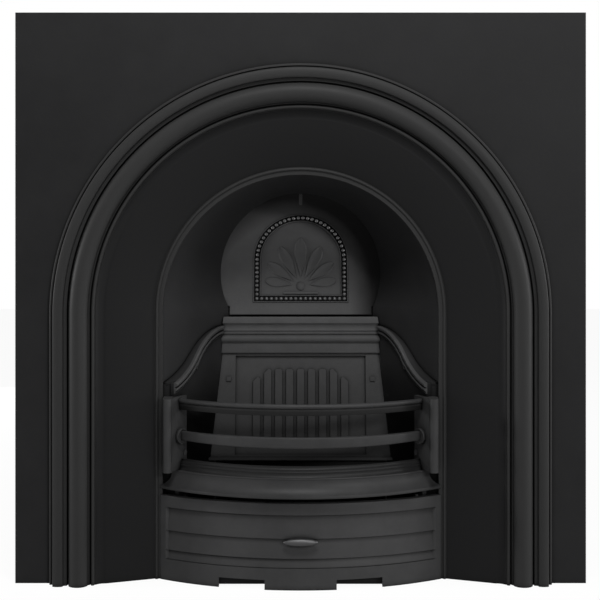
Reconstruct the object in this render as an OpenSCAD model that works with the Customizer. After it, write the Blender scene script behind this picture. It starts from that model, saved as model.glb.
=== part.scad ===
// Arched cast iron fireplace insert: face plate, hood, firebox, fire front,
// damper, grate, ashpan and ashpan cover, each as its own casting.
// Millimetres. X to the right, Y into the wall, Z up. Sizes along Y are given
// from the front face of the face plate, and placed() moves them to the origin,
// which is the middle of the footprint on the hearth.

/* [Face plate] */
// Width of the face plate
plate_w = 965; // [900:5:1100]
// Height of the face plate
plate_h = 965; // [920:5:1100]
// Wall thickness of the face plate
plate_t = 7; // [5:0.5:9]
// Height of the arch centre above the hearth
arch_z = 455; // [450:1:470]
// Clear radius of the arched opening inside the rim
opening_r = 236; // [232:1:240]
// Width of the rebate that seats the fire front
rebate_w = 7.5; // [6:0.5:9]
// Width of the bead round the rim
rim_bead_w = 5.5; // [4:0.5:7]
// Width of the sloping splay
splay_w = 80; // [70:1:84]
// Width of the cove between the splay and the small bead
cove_w = 18; // [14:1:20]
// Width of the small bead
bead_w = 7; // [5:0.5:9]
// Width of the large round moulding
torus_w = 31; // [26:1:34]
// Width of the groove outside the large moulding
groove_w = 10; // [8:1:12]
// Width of the outer band
band_w = 26; // [22:1:28]
// Height of the large moulding in front of the plate
torus_proud = 29; // [24:1:32]
// Height of the outer band in front of the plate
band_proud = 22; // [18:1:24]
// Height of the small bead in front of the plate
bead_proud = 15; // [12:1:17]
// Depth of the rebate face behind the plate front
rebate_y = 27; // [24:1:29]
// Depth of the rim's back face behind the plate front
rim_back_y = 36; // [35:1:40]
// Height of the stiffening rib along the plate's back edge
edge_rib_h = 8; // [6:1:12]

/* [Hood and damper] */
// Depth of the flue opening behind the plate front
throat_y = 180; // [178:1:190]
// Radius of the horseshoe flue opening
throat_r = 146; // [140:1:150]
// Height of the horseshoe's centre
throat_z = 515; // [510:1:525]
// Half width of the horseshoe at its foot
throat_foot_x = 131; // [128:1:133]
// Wall thickness of the hood
hood_t = 6; // [5:0.5:7]
// Width of the hood's front flange
flange_w = 26; // [24:1:28]
// Width of the flat ring round the flue opening
ring_w = 30; // [28:1:34]
// Thickness of the damper plate
damper_t = 5; // [4:0.5:6]
// How far the damper laps over the edge of the flue opening
damper_lap = 10; // [8:0.5:11]
// Lean of the damper at rest, from upright
damper_lean = 18; // [16:1:20]
// Radius of the damper's hinge rod
rod_r = 4; // [3.5:0.25:4.5]
// Radial running clearance of the hinge rod
rod_fit = 0.08; // [0.05:0.01:0.1]
// Width of the beaded frame on the damper
frame_w = 175; // [168:1:177]
// Height of the straight sides of the beaded frame
frame_side_h = 75; // [70:1:80]
// Diameter of one bead
bead_d = 7; // [6:0.5:8]
// Width of the small upright stop behind the crown
stop_w = 6; // [5:0.5:8]

/* [Firebox] */
// Distance from the middle to a cheek's inner face at the rim's back
cheek_x = 212; // [210:1:214]
// Angle of a cheek in plan, from straight back
cheek_splay = 27.9; // [27:0.1:28.5]
// Thickness of a cheek
cheek_t = 8; // [6:0.5:9]
// Height of the hob moulding's flat top
hob_z = 421; // [415:1:424]
// Radius of the hob moulding's upper curve
hob_upper_r = 130; // [125:1:135]
// Radius of the hob moulding's lower curve
hob_lower_r = 148; // [140:1:155]
// Slope of the hob moulding where its curves meet
hob_slope = 48; // [44:1:50]
// Width of the hob moulding
hob_w = 18; // [16:1:20]
// Depth of the fireback's foot behind the plate front
fireback_y = 129; // [126:1:131]
// Height of the fireback's foot
fireback_foot_z = 183; // [180:1:185]
// Height of the fireback's top
fireback_top_z = 435; // [432:1:436]
// Lean of the fireback, from upright
fireback_lean = 11.4; // [10.8:0.1:11.8]
// Thickness of the fireback's recessed panel
fireback_t = 8; // [7:0.5:10]
// Depth of the fireback's recess and height of its ribs
recess_d = 5; // [4:0.5:6]
// Width of the recessed panel
recess_w = 236; // [232:1:240]
// Height of the moulded cornice
cornice_h = 67; // [62:1:70]
// Number of raised ribs
rib_count = 9; // [5:2:9]
// Distance from rib to rib
rib_pitch = 19.9; // [18:0.1:21]
// Width of one rib
rib_w = 12.6; // [10:0.1:14]
// Height of the tallest ribs
rib_h = 126; // [115:1:128]

/* [Fire front] */
// How far the bars stand in front of the plate
bar_front = 50; // [46:1:52]
// Half span of the bars' arc, where it meets the ends
bar_span = 209; // [206:1:212]
// Depth of the bars' ends behind the plate front
bar_end_y = 22; // [20:1:23]
// Front to back thickness of a bar
bar_t = 9; // [7:0.5:11]
// Height of the top bar above the hearth
top_bar_z = 290; // [286:1:291]
// Height of the top bar itself
top_bar_h = 19; // [17:0.5:20]
// Height of the middle bar above the hearth
mid_bar_z = 235.5; // [230:0.5:240]
// Height of the middle bar at its middle
mid_bar_h = 18.5; // [16:0.5:20]
// Height of the middle bar at its ends
mid_bar_end_h = 15.5; // [13:0.5:16]
// Distance from the middle to a jamb's inner side
jamb_x = 217.5; // [217:0.5:219]
// Width of a jamb
jamb_w = 16; // [14:0.5:17]
// Height of a jamb's top above the hearth
jamb_top_z = 312; // [310:1:316]
// Radius of the socket round a bar's end
socket_r = 13; // [12:0.5:14]
// Clearance round a bar's end in its socket
bar_fit = 0.3; // [0.2:0.05:0.4]
// How far the skirt's lip stands in front of the plate
skirt_front = 62; // [58:1:66]
// Half span of the skirt and of the ashpan cover
front_span = 241; // [239.5:0.5:241]
// Gap between the fire front's ends and the rebate face
seat_gap = 0.5; // [0.3:0.1:1]
// Height of the skirt's lip above the hearth
skirt_z = 155; // [154:1:158]
// Height of the skirt's cove
cove_h = 32; // [28:1:34]
// Height of the stepped rail above the cove
step_h = 18; // [15:1:19]

/* [Ashpan cover] */
// How far the cover stands in front of the plate
cover_front = 43; // [40:1:46]
// Height of the cover
cover_h = 144; // [138:1:146]
// Thickness of the cover
cover_t = 12; // [11:0.5:13]
// Height of the recessed panel's foot
panel_z = 36; // [33:1:38]
// Height of the recessed panel
panel_h = 88.6; // [84:0.2:90]
// Half width of the recessed panel
panel_span = 229; // [225:1:231]
// Depth of the recessed panel
panel_d = 6; // [4:0.5:7]
// Distance from the middle to a notch
notch_x = 60; // [50:1:65]
// Width of a notch
notch_w = 77; // [70:1:85]
// Height of a notch
notch_h = 16.5; // [14:0.5:18]
// Length of the oval knob
knob_l = 58; // [50:1:64]
// Thickness of the oval knob
knob_d = 14; // [12:0.5:16]
// Height of the knob's centre above the hearth
knob_z = 81; // [78:1:84]

/* [Grate and ashpan] */
// Height of the grate's top above the hearth
grate_z = 170; // [167:1:172]
// Thickness of the grate
grate_t = 12; // [10:1:13]
// Number of slots in the grate
slot_count = 11; // [7:2:11]
// Width of one slot
slot_w = 11; // [9:1:12]
// Gap between the grate and what surrounds it
grate_gap = 2.5; // [2:0.5:4]
// Width of the ashpan
pan_w = 280; // [250:2:290]
// Depth of the ashpan, front to back
pan_d = 130; // [120:2:132]
// Height of the ashpan
pan_h = 100; // [80:2:110]
// Wall of the ashpan
pan_t = 1.5; // [1:0.25:2]
// Depth of the ashpan's front in front of the plate
pan_front = 4; // [2:1:5]

/* [Fixings] */
// Radius of the main bolts
bolt_r = 3; // [2.5:0.25:3.25]
// Radial clearance of a bolt in its hole
bolt_fit = 0.3; // [0.2:0.05:0.4]
// Height of a bolt head or nut
head_h = 4.5; // [4:0.25:5]
// Height of the lower wall brackets
bracket_low_z = 200; // [150:5:250]
// Height of the upper wall brackets
bracket_high_z = 800; // [750:5:850]
// Width of a wall bracket
bracket_w = 40; // [30:1:50]
// Length of each leg of a wall bracket
bracket_leg = 42; // [38:1:50]
// Thickness of a wall bracket
bracket_t = 4; // [3:0.5:5]
// Radius of a wall fixing hole
wall_hole_r = 4; // [3:0.25:5]

/* [Hidden] */
$fn = 64;
eps = 0.01;
iron = "#2b2c2e";
steel = "#6f7275";
rest_gap = 0.3;
nut_gap = 0.1;

// ---- radii of the arch moulding, from the opening outwards
rim_r = opening_r + rebate_w;
splay_in_r = rim_r + rim_bead_w;
splay_out_r = splay_in_r + splay_w;
bead_in_r = splay_out_r + cove_w;
bead_out_r = bead_in_r + bead_w;
torus_in_r = bead_out_r + 3;
torus_out_r = torus_in_r + torus_w;
band_in_r = torus_out_r + groove_w;
arch_r = band_in_r + band_w;
rim_ring_r = opening_r + flange_w;
groove_proud = band_proud - 6;
hollow_proud = bead_proud - plate_t;
splay_slope = (rebate_y + 2) / splay_w;

// ---- fireback frame and the cheek planes
function cheek_face_x(y) = cheek_x - (y - rim_back_y) * tan(cheek_splay);
fireback_len = (fireback_top_z - fireback_foot_z) / cos(fireback_lean);
fireback_gap = 0.8;
fireback_back = recess_d + fireback_t;

// ---- hob curve in the cheek's own plane: s runs back from the rim's back face
hob_mid_s = 60;
hob_top_s = hob_mid_s + hob_upper_r * sin(hob_slope);
hob_mid_z = hob_z - hob_upper_r * (1 - cos(hob_slope));
hob_low_s = hob_mid_s - hob_lower_r * sin(hob_slope);
hob_low_z = hob_mid_z - hob_lower_r * (1 - cos(hob_slope));
function hob_curve(s, drop = 0) =
    s >= hob_top_s ? hob_z - drop :
    s >= hob_mid_s ? hob_z - hob_upper_r + sqrt(pow(hob_upper_r - drop, 2) - pow(hob_top_s - s, 2)) :
    hob_low_z + hob_lower_r - sqrt(pow(hob_lower_r + drop, 2) - pow(s - hob_low_s, 2));
cheek_front_s = -9;
cheek_rear_s = (throat_y + hood_t - rim_back_y) / cos(cheek_splay);
hob_steps = 36;
hob_ledge_w = 30;
moulding_end_y = throat_y - 15;

// ---- damper hinge, just above the fireback's top and behind the flue ring
damper_offset = 12;
hinge_y = throat_y + hood_t + 0.5 + damper_offset;
hinge_z = fireback_top_z + 12;
damper_low = 12;
damper_side_gap = 0.8;
damper_shoulder = 4;
damper_roll_r = 13;
damper_r = throat_r + damper_lap;
damper_centre = throat_z - hinge_z;
damper_top = damper_centre + damper_r;
knuckle_r = rod_r + 3.5;
knuckle_w = 14;
damper_bracket_x = throat_foot_x + 5;
damper_bracket_w = 9;

// ---- arcs in plan: a radius from the span and how far the middle stands out
function arc_radius(span, rise) = (span * span + rise * rise) / (2 * rise);
bar_r = arc_radius(bar_span, bar_front + bar_end_y);
front_end_y = rebate_y - seat_gap;
skirt_r = arc_radius(front_span, skirt_front + front_end_y);
cover_r = arc_radius(front_span, cover_front + front_end_y);
bar_end_x = cheek_x - 4;

// ---- frame origin: middle of the footprint
front_y = -skirt_front;
rear_y = hinge_y + (damper_t - damper_offset) * cos(damper_lean) + damper_top * sin(damper_lean);
mid_y = (front_y + rear_y) / 2;

module placed() {
    translate([0, -mid_y, 0]) children();
}

// the same shape on both sides of the middle plane
module both_sides() {
    children();
    mirror([1, 0, 0]) children();
}

// points along a circular arc
function arc_points(cx, cy, r, from, to, steps) =
    [for (i = [0:steps]) let (a = from + (to - from) * i / steps) [cx + r * cos(a), cy + r * sin(a)]];

// a round swelling between two points: height is how far it rises to the left of the way from p to q
function swell(p, q, height, steps) =
    let (c = norm(q - p), r = arc_radius(c / 2, height), m = (p + q) / 2,
        along = (q - p) / c, up = [-along[1], along[0]], half = asin(c / 2 / r))
    [for (i = [0:steps]) let (a = -half + 2 * half * i / steps)
        m + up * (height - r) + r * (sin(a) * along + cos(a) * up)];

// a hexagonal head with its bolt below, along +Z from the seat
module hex_bolt(length, r = bolt_r, head = head_h) {
    cylinder(h = head, r = r * 1.85, $fn = 6);
    translate([0, 0, -length]) cylinder(h = length + eps, r = r);
}

// ring in plan, centred on the fire front's arc, from a section drawn as [radius, height]
module front_arc(radius, front, half) {
    translate([0, radius - front, 0]) rotate([0, 0, -90 - half])
        rotate_extrude(angle = 2 * half, $fn = 360) children();
}

// ---- the face plate -------------------------------------------------------

// section of the arch moulding: x is the distance from the arch centre, y is proud of the plate
module arch_section() {
    polygon(concat(
        [[arch_r, -plate_t + eps], [arch_r, 0], [arch_r - 2, band_proud - 9]],
        arc_points(arch_r - 9, band_proud - 7, 7, 0, 80, 5),
        swell([arch_r - 10, band_proud], [band_in_r + 2, band_proud - 0.5], -1.4, 5),
        [[band_in_r, groove_proud + 1], [band_in_r - 3, groove_proud],
            [torus_out_r + 2, groove_proud + 1]],
        swell([torus_out_r, groove_proud + 4], [torus_in_r, groove_proud + 2],
            groove_proud + 3 - torus_proud, 12),
        [[bead_out_r, bead_proud - 2.5]],
        swell([bead_out_r, bead_proud - 1], [bead_in_r, bead_proud - 2], -1.5, 4),
        [[bead_in_r, bead_proud - 4]],
        swell([bead_in_r - 1, bead_proud - 4], [splay_out_r, 2], 3, 6),
        [[splay_in_r + eps, 2 - splay_slope * splay_w]],
        swell([splay_in_r, -rebate_y + 0.5], [rim_r, -rebate_y + 0.5], -2.5, 6),
        [[rim_r, -rebate_y], [opening_r, -rebate_y], [opening_r, -rim_back_y],
            [rim_ring_r, -rim_back_y], [rim_ring_r, -splay_slope * (splay_out_r - rim_ring_r) - plate_t],
            [splay_out_r + 6, -plate_t], [bead_in_r + 3, hollow_proud],
            [band_in_r + 16, hollow_proud], [band_in_r + 18, -plate_t]]));
}

module arch_outline(r) {
    translate([0, arch_z]) circle(r = r, $fn = 180);
    translate([-r, -eps]) square([2 * r, arch_z + eps]);
}

// drill from the back of the rim ring, at a place along the leg or round the arch
module rim_bolt_places() {
    both_sides() {
        for (z = [arch_z - 75, arch_z]) translate([rim_bolt_r, rim_back_y, z]) children();
        translate([rim_bolt_r * cos(45), rim_back_y, arch_z + rim_bolt_r * sin(45)]) children();
    }
    translate([0, rim_back_y, arch_z + rim_bolt_r]) children();
}

module cheek_bolt_places() {
    both_sides() for (z = cheek_bolt_z) translate([rim_bolt_r, rim_back_y, z]) children();
}

rim_bolt_r = opening_r + flange_w * 0.6;
cheek_bolt_z = [70, 280];
rim_tap_d = 7;

module blind_hole() {
    translate([0, eps, 0]) rotate([90, 0, 0]) cylinder(h = rim_tap_d + 1, r = bolt_r + bolt_fit);
}

module front_plate() {
    placed() color(iron) difference() {
        union() {
            rotate([90, 0, 0]) mirror([0, 0, 1]) linear_extrude(plate_t) difference() {
                translate([-plate_w / 2, 0]) square([plate_w, plate_h]);
                arch_outline(arch_r - 4);
            }
            translate([0, 0, arch_z]) rotate([90, 0, 0]) rotate_extrude(angle = 180) arch_section();
            both_sides() mirror([0, 1, 0]) linear_extrude(arch_z + eps) arch_section();
            edge_rib();
            both_sides() for (z = [bracket_low_z, bracket_high_z])
                translate([bracket_bolt_x, plate_t - eps, z]) rotate([-90, 0, 0])
                    cylinder(h = edge_rib_h + eps, r = bolt_r + 5);
        }
        rim_bolt_places() blind_hole();
        cheek_bolt_places() blind_hole();
        both_sides() for (z = [bracket_low_z, bracket_high_z])
            translate([bracket_bolt_x, plate_t + edge_rib_h + eps, z]) rotate([90, 0, 0])
                cylinder(h = edge_rib_h + 3, r = bolt_r + bolt_fit);
    }
}

module edge_rib() {
    rib = 9;
    both_sides() translate([plate_w / 2 - rib, plate_t - eps, 0]) cube([rib, edge_rib_h, plate_h]);
    translate([-plate_w / 2, plate_t - eps, plate_h - rib]) cube([plate_w, edge_rib_h, rib]);
}

// ---- the hood ---------------------------------------------------------------

hood_arc_steps = 40;
hood_depth_steps = 8;
hood_gap = 1.3;
hood_foot_flare = 2;
hood_foot_z = hob_low_z - 5;
throat_low_a = -25;
throat_foot_z = fireback_top_z + 2;

// Stations run from the foot (0) up one side to the crown. At each station the wall goes
// straight from the rim to the flue opening. grow is the offset outwards from the inner face.
function front_edge(i, grow) =
    i == 0 ? [opening_r + grow, hood_foot_z] :
    i == 1 ? [opening_r + grow, throat_foot_z] :
    let (a = 90 * (i - 2) / hood_arc_steps)
    [(opening_r + grow) * cos(a), arch_z + (opening_r + grow) * sin(a)];
function rear_edge(i, grow) =
    i == 0 ? [throat_foot_x + hood_foot_flare + grow, hood_foot_z] :
    i == 1 ? [throat_foot_x + grow, throat_foot_z] :
    let (a = throat_low_a + (90 - throat_low_a) * (i - 2) / hood_arc_steps)
    [(throat_r + grow) * cos(a), throat_z + (throat_r + grow) * sin(a)];

// the foot follows the hob curve, just clear of the cheek's ledge
function seated(p) = [p[0], p[1], hood_gap + hob_curve((p[1] - rim_back_y) * cos(cheek_splay)
    - (p[0] - cheek_x) * sin(cheek_splay))];

function wall_point(i, f, grow, y0, y1) =
    let (p = front_edge(i, grow) * (1 - f) + rear_edge(i, grow) * f,
        q = [p[0], y0 * (1 - f) + y1 * f, p[1]])
    i == 0 ? seated(q) : q;

// section of the hood at a station: inner face, ring, outer face, flange
function hood_section(i) =
    let (back_y = rim_back_y + hood_t, ring_y = throat_y + hood_t, n = hood_depth_steps) concat(
        [for (k = [0:n]) wall_point(i, k / n, 0, rim_back_y, ring_y)],
        [wall_point(i, 1, ring_w, rim_back_y, ring_y), wall_point(i, 1, ring_w, back_y, throat_y)],
        [for (k = [n:-1:0]) wall_point(i, k / n, hood_t + 1, back_y, throat_y)],
        [wall_point(i, 0, flange_w, back_y, throat_y), wall_point(i, 0, flange_w, rim_back_y, ring_y)]);

// the hood in one wall: front flange, funnel and the flat ring round the flue opening
module hood_wall() {
    n = hood_depth_steps;
    half = [for (i = [0:hood_arc_steps + 2]) hood_section(i)];
    stations = concat(half, [for (i = [hood_arc_steps + 1:-1:0]) [for (p = half[i]) [-p[0], p[1], p[2]]]]);
    m = len(half[0]);
    last = (len(stations) - 1) * m;
    strip = concat([for (k = [0:n - 1]) [k, k + 1, 2 * n + 2 - k, 2 * n + 3 - k]],
        [[n, n + 1, n + 2, n + 3], [2 * n + 3, 2 * n + 4, 2 * n + 5, 0]]);
    polyhedron(points = [for (st = stations) each st], faces = concat(
        [for (i = [0:len(stations) - 2], k = [0:m - 1])
            let (a = i * m + k, b = i * m + (k + 1) % m)
            each [[a, a + m, b + m], [a, b + m, b]]],
        [for (q = strip) each [[q[0], q[1], q[2]], [q[0], q[2], q[3]]]],
        [for (q = strip) each [[last + q[0], last + q[2], last + q[1]],
            [last + q[0], last + q[3], last + q[2]]]]));
}

module canopy() {
    placed() color(iron) difference() {
        hood_wall();
        rim_bolt_places() rotate([-90, 0, 0])
            translate([0, 0, -1]) cylinder(h = hood_t + 2, r = bolt_r + bolt_fit);
        bracket_screw_places() rotate([90, 0, 0])
            translate([0, 0, -1]) cylinder(h = hood_t + 2, r = small_r + bolt_fit);
    }
}

small_r = 2;

// seats of the small screws on the back of the flue ring
module bracket_screw_places() {
    both_sides() translate([damper_bracket_x + damper_bracket_w + 5, throat_y + hood_t, hinge_z]) children();
    translate([0, throat_y + hood_t, throat_z + throat_r + ring_w * 0.55]) children();
}

// ---- cheeks -----------------------------------------------------------------

// frame of the right cheek: X runs back along it, +Y points into the firebox
module cheek_frame() {
    translate([cheek_x, rim_back_y, 0]) rotate([0, 0, 90 + cheek_splay]) children();
}

// a flat shape drawn as [along, up] becomes a slab, from inward down to inward - depth
module on_cheek(inward, depth) {
    translate([0, inward, 0]) rotate([90, 0, 0]) linear_extrude(depth) children();
}

function hob_line(drop, from = cheek_front_s, to = cheek_rear_s) =
    [for (i = [0:hob_steps]) let (s = from + (to - from) * i / hob_steps) [s, hob_curve(s, drop)]];

// a band that follows the hob curve, between two depths below it
module hob_band(top, low) {
    a = hob_line(top);
    b = hob_line(low);
    polygon(concat(a, [for (i = [hob_steps:-1:0]) b[i]]));
}

module cheek() {
    flange_top = hob_low_z + 2.4;
    difference() {
        union() {
            cheek_frame() {
                on_cheek(0, cheek_t) polygon(concat([[cheek_front_s, 0], [cheek_rear_s, 0]],
                    [for (i = [hob_steps:-1:0]) hob_line(1)[i]]));
            }
            intersection() {
                cheek_frame() {
                    on_cheek(2.5, 2.5 + eps) hob_band(1, hob_w);
                    on_cheek(5.5, 3 + eps) hob_band(0, hob_w * 0.36);
                    on_cheek(4.5, 2 + eps) hob_band(hob_w * 0.55, hob_w * 0.86);
                }
                cube([2 * cheek_x, moulding_end_y, hob_z + 1]);
            }
            intersection() {
                cheek_frame() on_cheek(eps, hob_ledge_w) hob_band(0, 6);
                translate([0, rim_back_y, 0]) cube([2 * cheek_x, throat_y, hob_z + 1]);
            }
            translate([cheek_x + 2, rim_back_y, 0]) cube([rim_ring_r - cheek_x - 2, hood_t, flange_top]);
            intersection() {
                cheek_frame() translate([return_s + 9, 0, grate_z - grate_t - 12]) cube([100, 14, 12 - rest_gap]);
                translate([0, rim_back_y, 0]) cube([cheek_x, fireback_y - rim_back_y, hob_z]);
            }
            fireback_frame() translate([bolt_lug_x - 8, fireback_back + 0.3, bolt_lug_z - 12])
                cube([22, 6, 24]);
        }
        fireback_frame() translate([bolt_lug_x, fireback_back - 1, bolt_lug_z]) rotate([-90, 0, 0])
            cylinder(h = 12, r = bolt_r + bolt_fit);
        translate([0, rim_back_y - 1, 0]) {
            for (z = cheek_bolt_z) translate([rim_bolt_r, 0, z]) rotate([-90, 0, 0])
                cylinder(h = hood_t + 2, r = bolt_r + bolt_fit);
        }
        cheek_frame() {
            translate([jamb_bolt_s, 1, jamb_bolt_z]) rotate([90, 0, 0])
                cylinder(h = cheek_t + 2, r = bolt_r + bolt_fit);
            translate([skirt_bolt_s, 1, skirt_bolt_z]) rotate([90, 0, 0])
                cylinder(h = cheek_t + 2, r = bolt_r + bolt_fit);
        }
    }
}

jamb_bolt_s = 9.5;
jamb_bolt_z = 214;
skirt_bolt_s = 10;
skirt_bolt_z = skirt_z - 18;

module cheek_right() {
    placed() color(iron) cheek();
}

module cheek_left() {
    placed() color(iron) mirror([1, 0, 0]) cheek();
}

// ---- fireback ---------------------------------------------------------------

// frame of the fireback: Z runs up its face, +Y points out of its back
module fireback_frame() {
    translate([0, fireback_y, fireback_foot_z]) rotate([-fireback_lean, 0, 0]) children();
}

function fireback_half(up) =
    cheek_face_x(fireback_y + up * sin(fireback_lean) + fireback_back * cos(fireback_lean)) - fireback_gap;

bolt_lug_z = 145;
bolt_lug_x = fireback_half(bolt_lug_z) - 10;

// the room between the cheeks, in plan; behind the flue opening it is narrower, clear of the hood
module between_cheeks() {
    far_y = rear_y;
    relief_y = throat_y - 3;
    relief_x = throat_foot_x - 4;
    half = [[cheek_face_x(rim_back_y) - fireback_gap, rim_back_y], [cheek_face_x(relief_y) - fireback_gap, relief_y],
        [relief_x, relief_y], [relief_x, far_y]];
    linear_extrude(plate_h) polygon(concat(half, [for (i = [3:-1:0]) [-half[i][0], half[i][1]]]));
}

// section of the cornice: x is proud of the face, y is up
module cornice_section() {
    h = cornice_h;
    polygon(concat([[-fireback_back, 0], [2, 0], [4, 2], [4, h * 0.28]],
        swell([5, h * 0.3], [5, h * 0.5], -4, 8),
        [[4, h * 0.52], [5.5, h * 0.54], [5.5, h * 0.6], [7, h * 0.62]],
        swell([7, h * 0.63], [9, h * 0.8], 1.8, 6),
        [[10.5, h * 0.82], [10.5, h * 0.97], [9, h], [-fireback_back, h]]));
}

module rib(i) {
    mid = (rib_count - 1) / 2;
    off = abs(i - mid);
    top = rib_h - (off == mid ? 15 : 0);
    cut = off >= mid - 1 ? rib_w * 0.6 : 2.5;
    side = i < mid ? 1 : -1;
    x = (i - mid) * rib_pitch;
    translate([x, recess_d + eps, rib_foot]) rotate([90, 0, 0]) linear_extrude(recess_d)
        mirror([side > 0 ? 0 : 1, 0]) polygon([[-rib_w / 2, 0], [rib_w / 2, 0], [rib_w / 2, top - 2.5],
            [rib_w / 2 - 2.5, top], [-rib_w / 2 + cut, top], [-rib_w / 2, top - cut]]);
}

rib_foot = 37;
panel_foot = 10;
foot_lip = 5;

module fireback() {
    panel_top = fireback_len - cornice_h;
    placed() color(iron) intersection() {
        fireback_frame() {
            difference() {
                translate([-cheek_x, 0, 0]) cube([2 * cheek_x, fireback_back, fireback_len]);
                translate([-recess_w / 2, -1, panel_foot])
                    cube([recess_w, recess_d + 1, panel_top - panel_foot - 3]);
                both_sides() translate([bolt_lug_x, -1, bolt_lug_z]) rotate([-90, 0, 0])
                    cylinder(h = fireback_back + 2, r = bolt_r + bolt_fit);
            }
            for (i = [0:rib_count - 1]) rib(i);
            translate([-cheek_x, 0, panel_top]) rotate([90, 0, 90])
                linear_extrude(2 * cheek_x) mirror([1, 0]) cornice_section();
            translate([-cheek_x, -foot_lip, 0]) cube([2 * cheek_x, foot_lip + eps, foot_lip]);
        }
        between_cheeks();
    }
    placed() color(iron) fireback_apron();
}

// upright apron below the firebox, down to the hearth
module fireback_apron() {
    y = fireback_y + recess_d + 4;
    half = cheek_face_x(y + fireback_t) - fireback_gap;
    translate([-half, y, 0]) cube([2 * half, fireback_t, fireback_foot_z + 6]);
}

// ---- damper -----------------------------------------------------------------

// frame of the damper at rest: X is the hinge, Z runs up the plate, -Y is its face
module damper_frame() {
    translate([0, hinge_y, hinge_z]) rotate([-damper_lean, 0, 0]) children();
}

module damper_outline() {
    intersection() {
        translate([0, damper_centre]) circle(r = damper_r, $fn = 180);
        translate([-damper_r, damper_shoulder]) square([2 * damper_r, 2 * damper_r]);
    }
    half = throat_foot_x - damper_side_gap;
    translate([-half, -damper_low]) square([2 * half, damper_low + damper_shoulder + 1]);
}

// the rolled lower edge, round the hinge, that closes the view between damper and fireback
module damper_roll() {
    half = damper_bracket_x - 7;
    translate([-half, 0, 0]) rotate([0, 90, 0]) linear_extrude(2 * half)
        polygon(concat(arc_points(0, 0, damper_roll_r, -45, 20, 16), arc_points(0, 0, damper_roll_r - 3, 20, -45, 16)));
}

knuckle_gap = 1.5;

// the beaded frame's centre line: flat foot, straight sides, round head
frame_foot = 18;
frame_r = frame_w / 2 - bead_d;
frame_head_z = frame_foot + frame_side_h;
bead_pitch = bead_d * 1.26;

module frame_band(inner, outer) {
    difference() {
        union() {
            translate([0, frame_head_z]) circle(r = outer, $fn = 120);
            translate([-outer, frame_foot - (outer - frame_r)])
                square([2 * outer, frame_side_h + outer - frame_r]);
        }
        translate([0, frame_head_z]) circle(r = inner, $fn = 120);
        translate([-inner, frame_foot + (frame_r - inner)])
            square([2 * inner, frame_side_h - (frame_r - inner)]);
    }
}

// one cast bead, domed towards -Y
module bead() {
    rotate([90, 0, 0]) {
        cylinder(h = bead_d * 0.3, d = bead_d, $fn = 24);
        translate([0, 0, bead_d * 0.3 - eps]) cylinder(h = bead_d * 0.2, d1 = bead_d, d2 = bead_d * 0.5, $fn = 24);
    }
}

module bead_row() {
    head_count = round(180 / (bead_pitch / frame_r * 180 / PI));
    side_count = round(frame_side_h / bead_pitch);
    foot_count = round(2 * frame_r / bead_pitch);
    for (i = [0:head_count]) let (a = 180 * i / head_count)
        translate([frame_r * cos(a), 0, frame_head_z + frame_r * sin(a)]) bead();
    both_sides() for (i = [1:side_count])
        translate([frame_r, 0, frame_head_z - frame_side_h * i / side_count]) bead();
    for (i = [1:foot_count - 1])
        translate([-frame_r + 2 * frame_r * i / foot_count, 0, frame_foot]) bead();
}

// a fan of seven leaves over a small boss
leaf_count = 7;
module leaf(length, width) {
    side = swell([0, 0], [0, length], width / 2, 8);
    polygon(concat(side, [for (i = [7:-1:1]) [-side[i][0], side[i][1]]]));
}

module palmette() {
    base = frame_foot + 24;
    for (i = [0:leaf_count - 1]) let (k = i - (leaf_count - 1) / 2)
        translate([0, base]) rotate(-k * 27) translate([0, 12]) leaf(84 - 10 * abs(k), 17);
    translate([0, base]) circle(r = 9);
    translate([-32, base - 15]) square([64, 4]);
}

module damper_plate() {
    face = -damper_offset;
    placed() color(iron) damper_frame() difference() {
        union() {
            translate([0, face + damper_t, 0]) rotate([90, 0, 0]) linear_extrude(damper_t) damper_outline();
            translate([0, face + eps, 0]) rotate([90, 0, 0]) linear_extrude(1.5 + eps)
                frame_band(frame_r - bead_d * 1.05, frame_r - bead_d * 0.7);
            translate([0, face + eps, 0]) rotate([90, 0, 0]) linear_extrude(1.5 + eps)
                frame_band(frame_r + bead_d * 0.7, frame_r + bead_d * 1.05);
            translate([0, face + eps, 0]) rotate([90, 0, 0]) linear_extrude(2 + eps) palmette();
            translate([0, face + eps, 0]) bead_row();
            damper_roll();
            both_sides() translate([damper_bracket_x - knuckle_gap - knuckle_w, 0, 0]) rotate([0, 90, 0])
                cylinder(h = knuckle_w, r = knuckle_r);
        }
        translate([-damper_r, 0, 0]) rotate([0, 90, 0]) cylinder(h = 2 * damper_r, r = rod_r + rod_fit);
    }
}

module damper_rod() {
    half = damper_bracket_x + damper_bracket_w + 1.5;
    placed() color(steel) translate([-half, hinge_y, hinge_z]) rotate([0, 90, 0])
        cylinder(h = 2 * half, r = rod_r);
}

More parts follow.
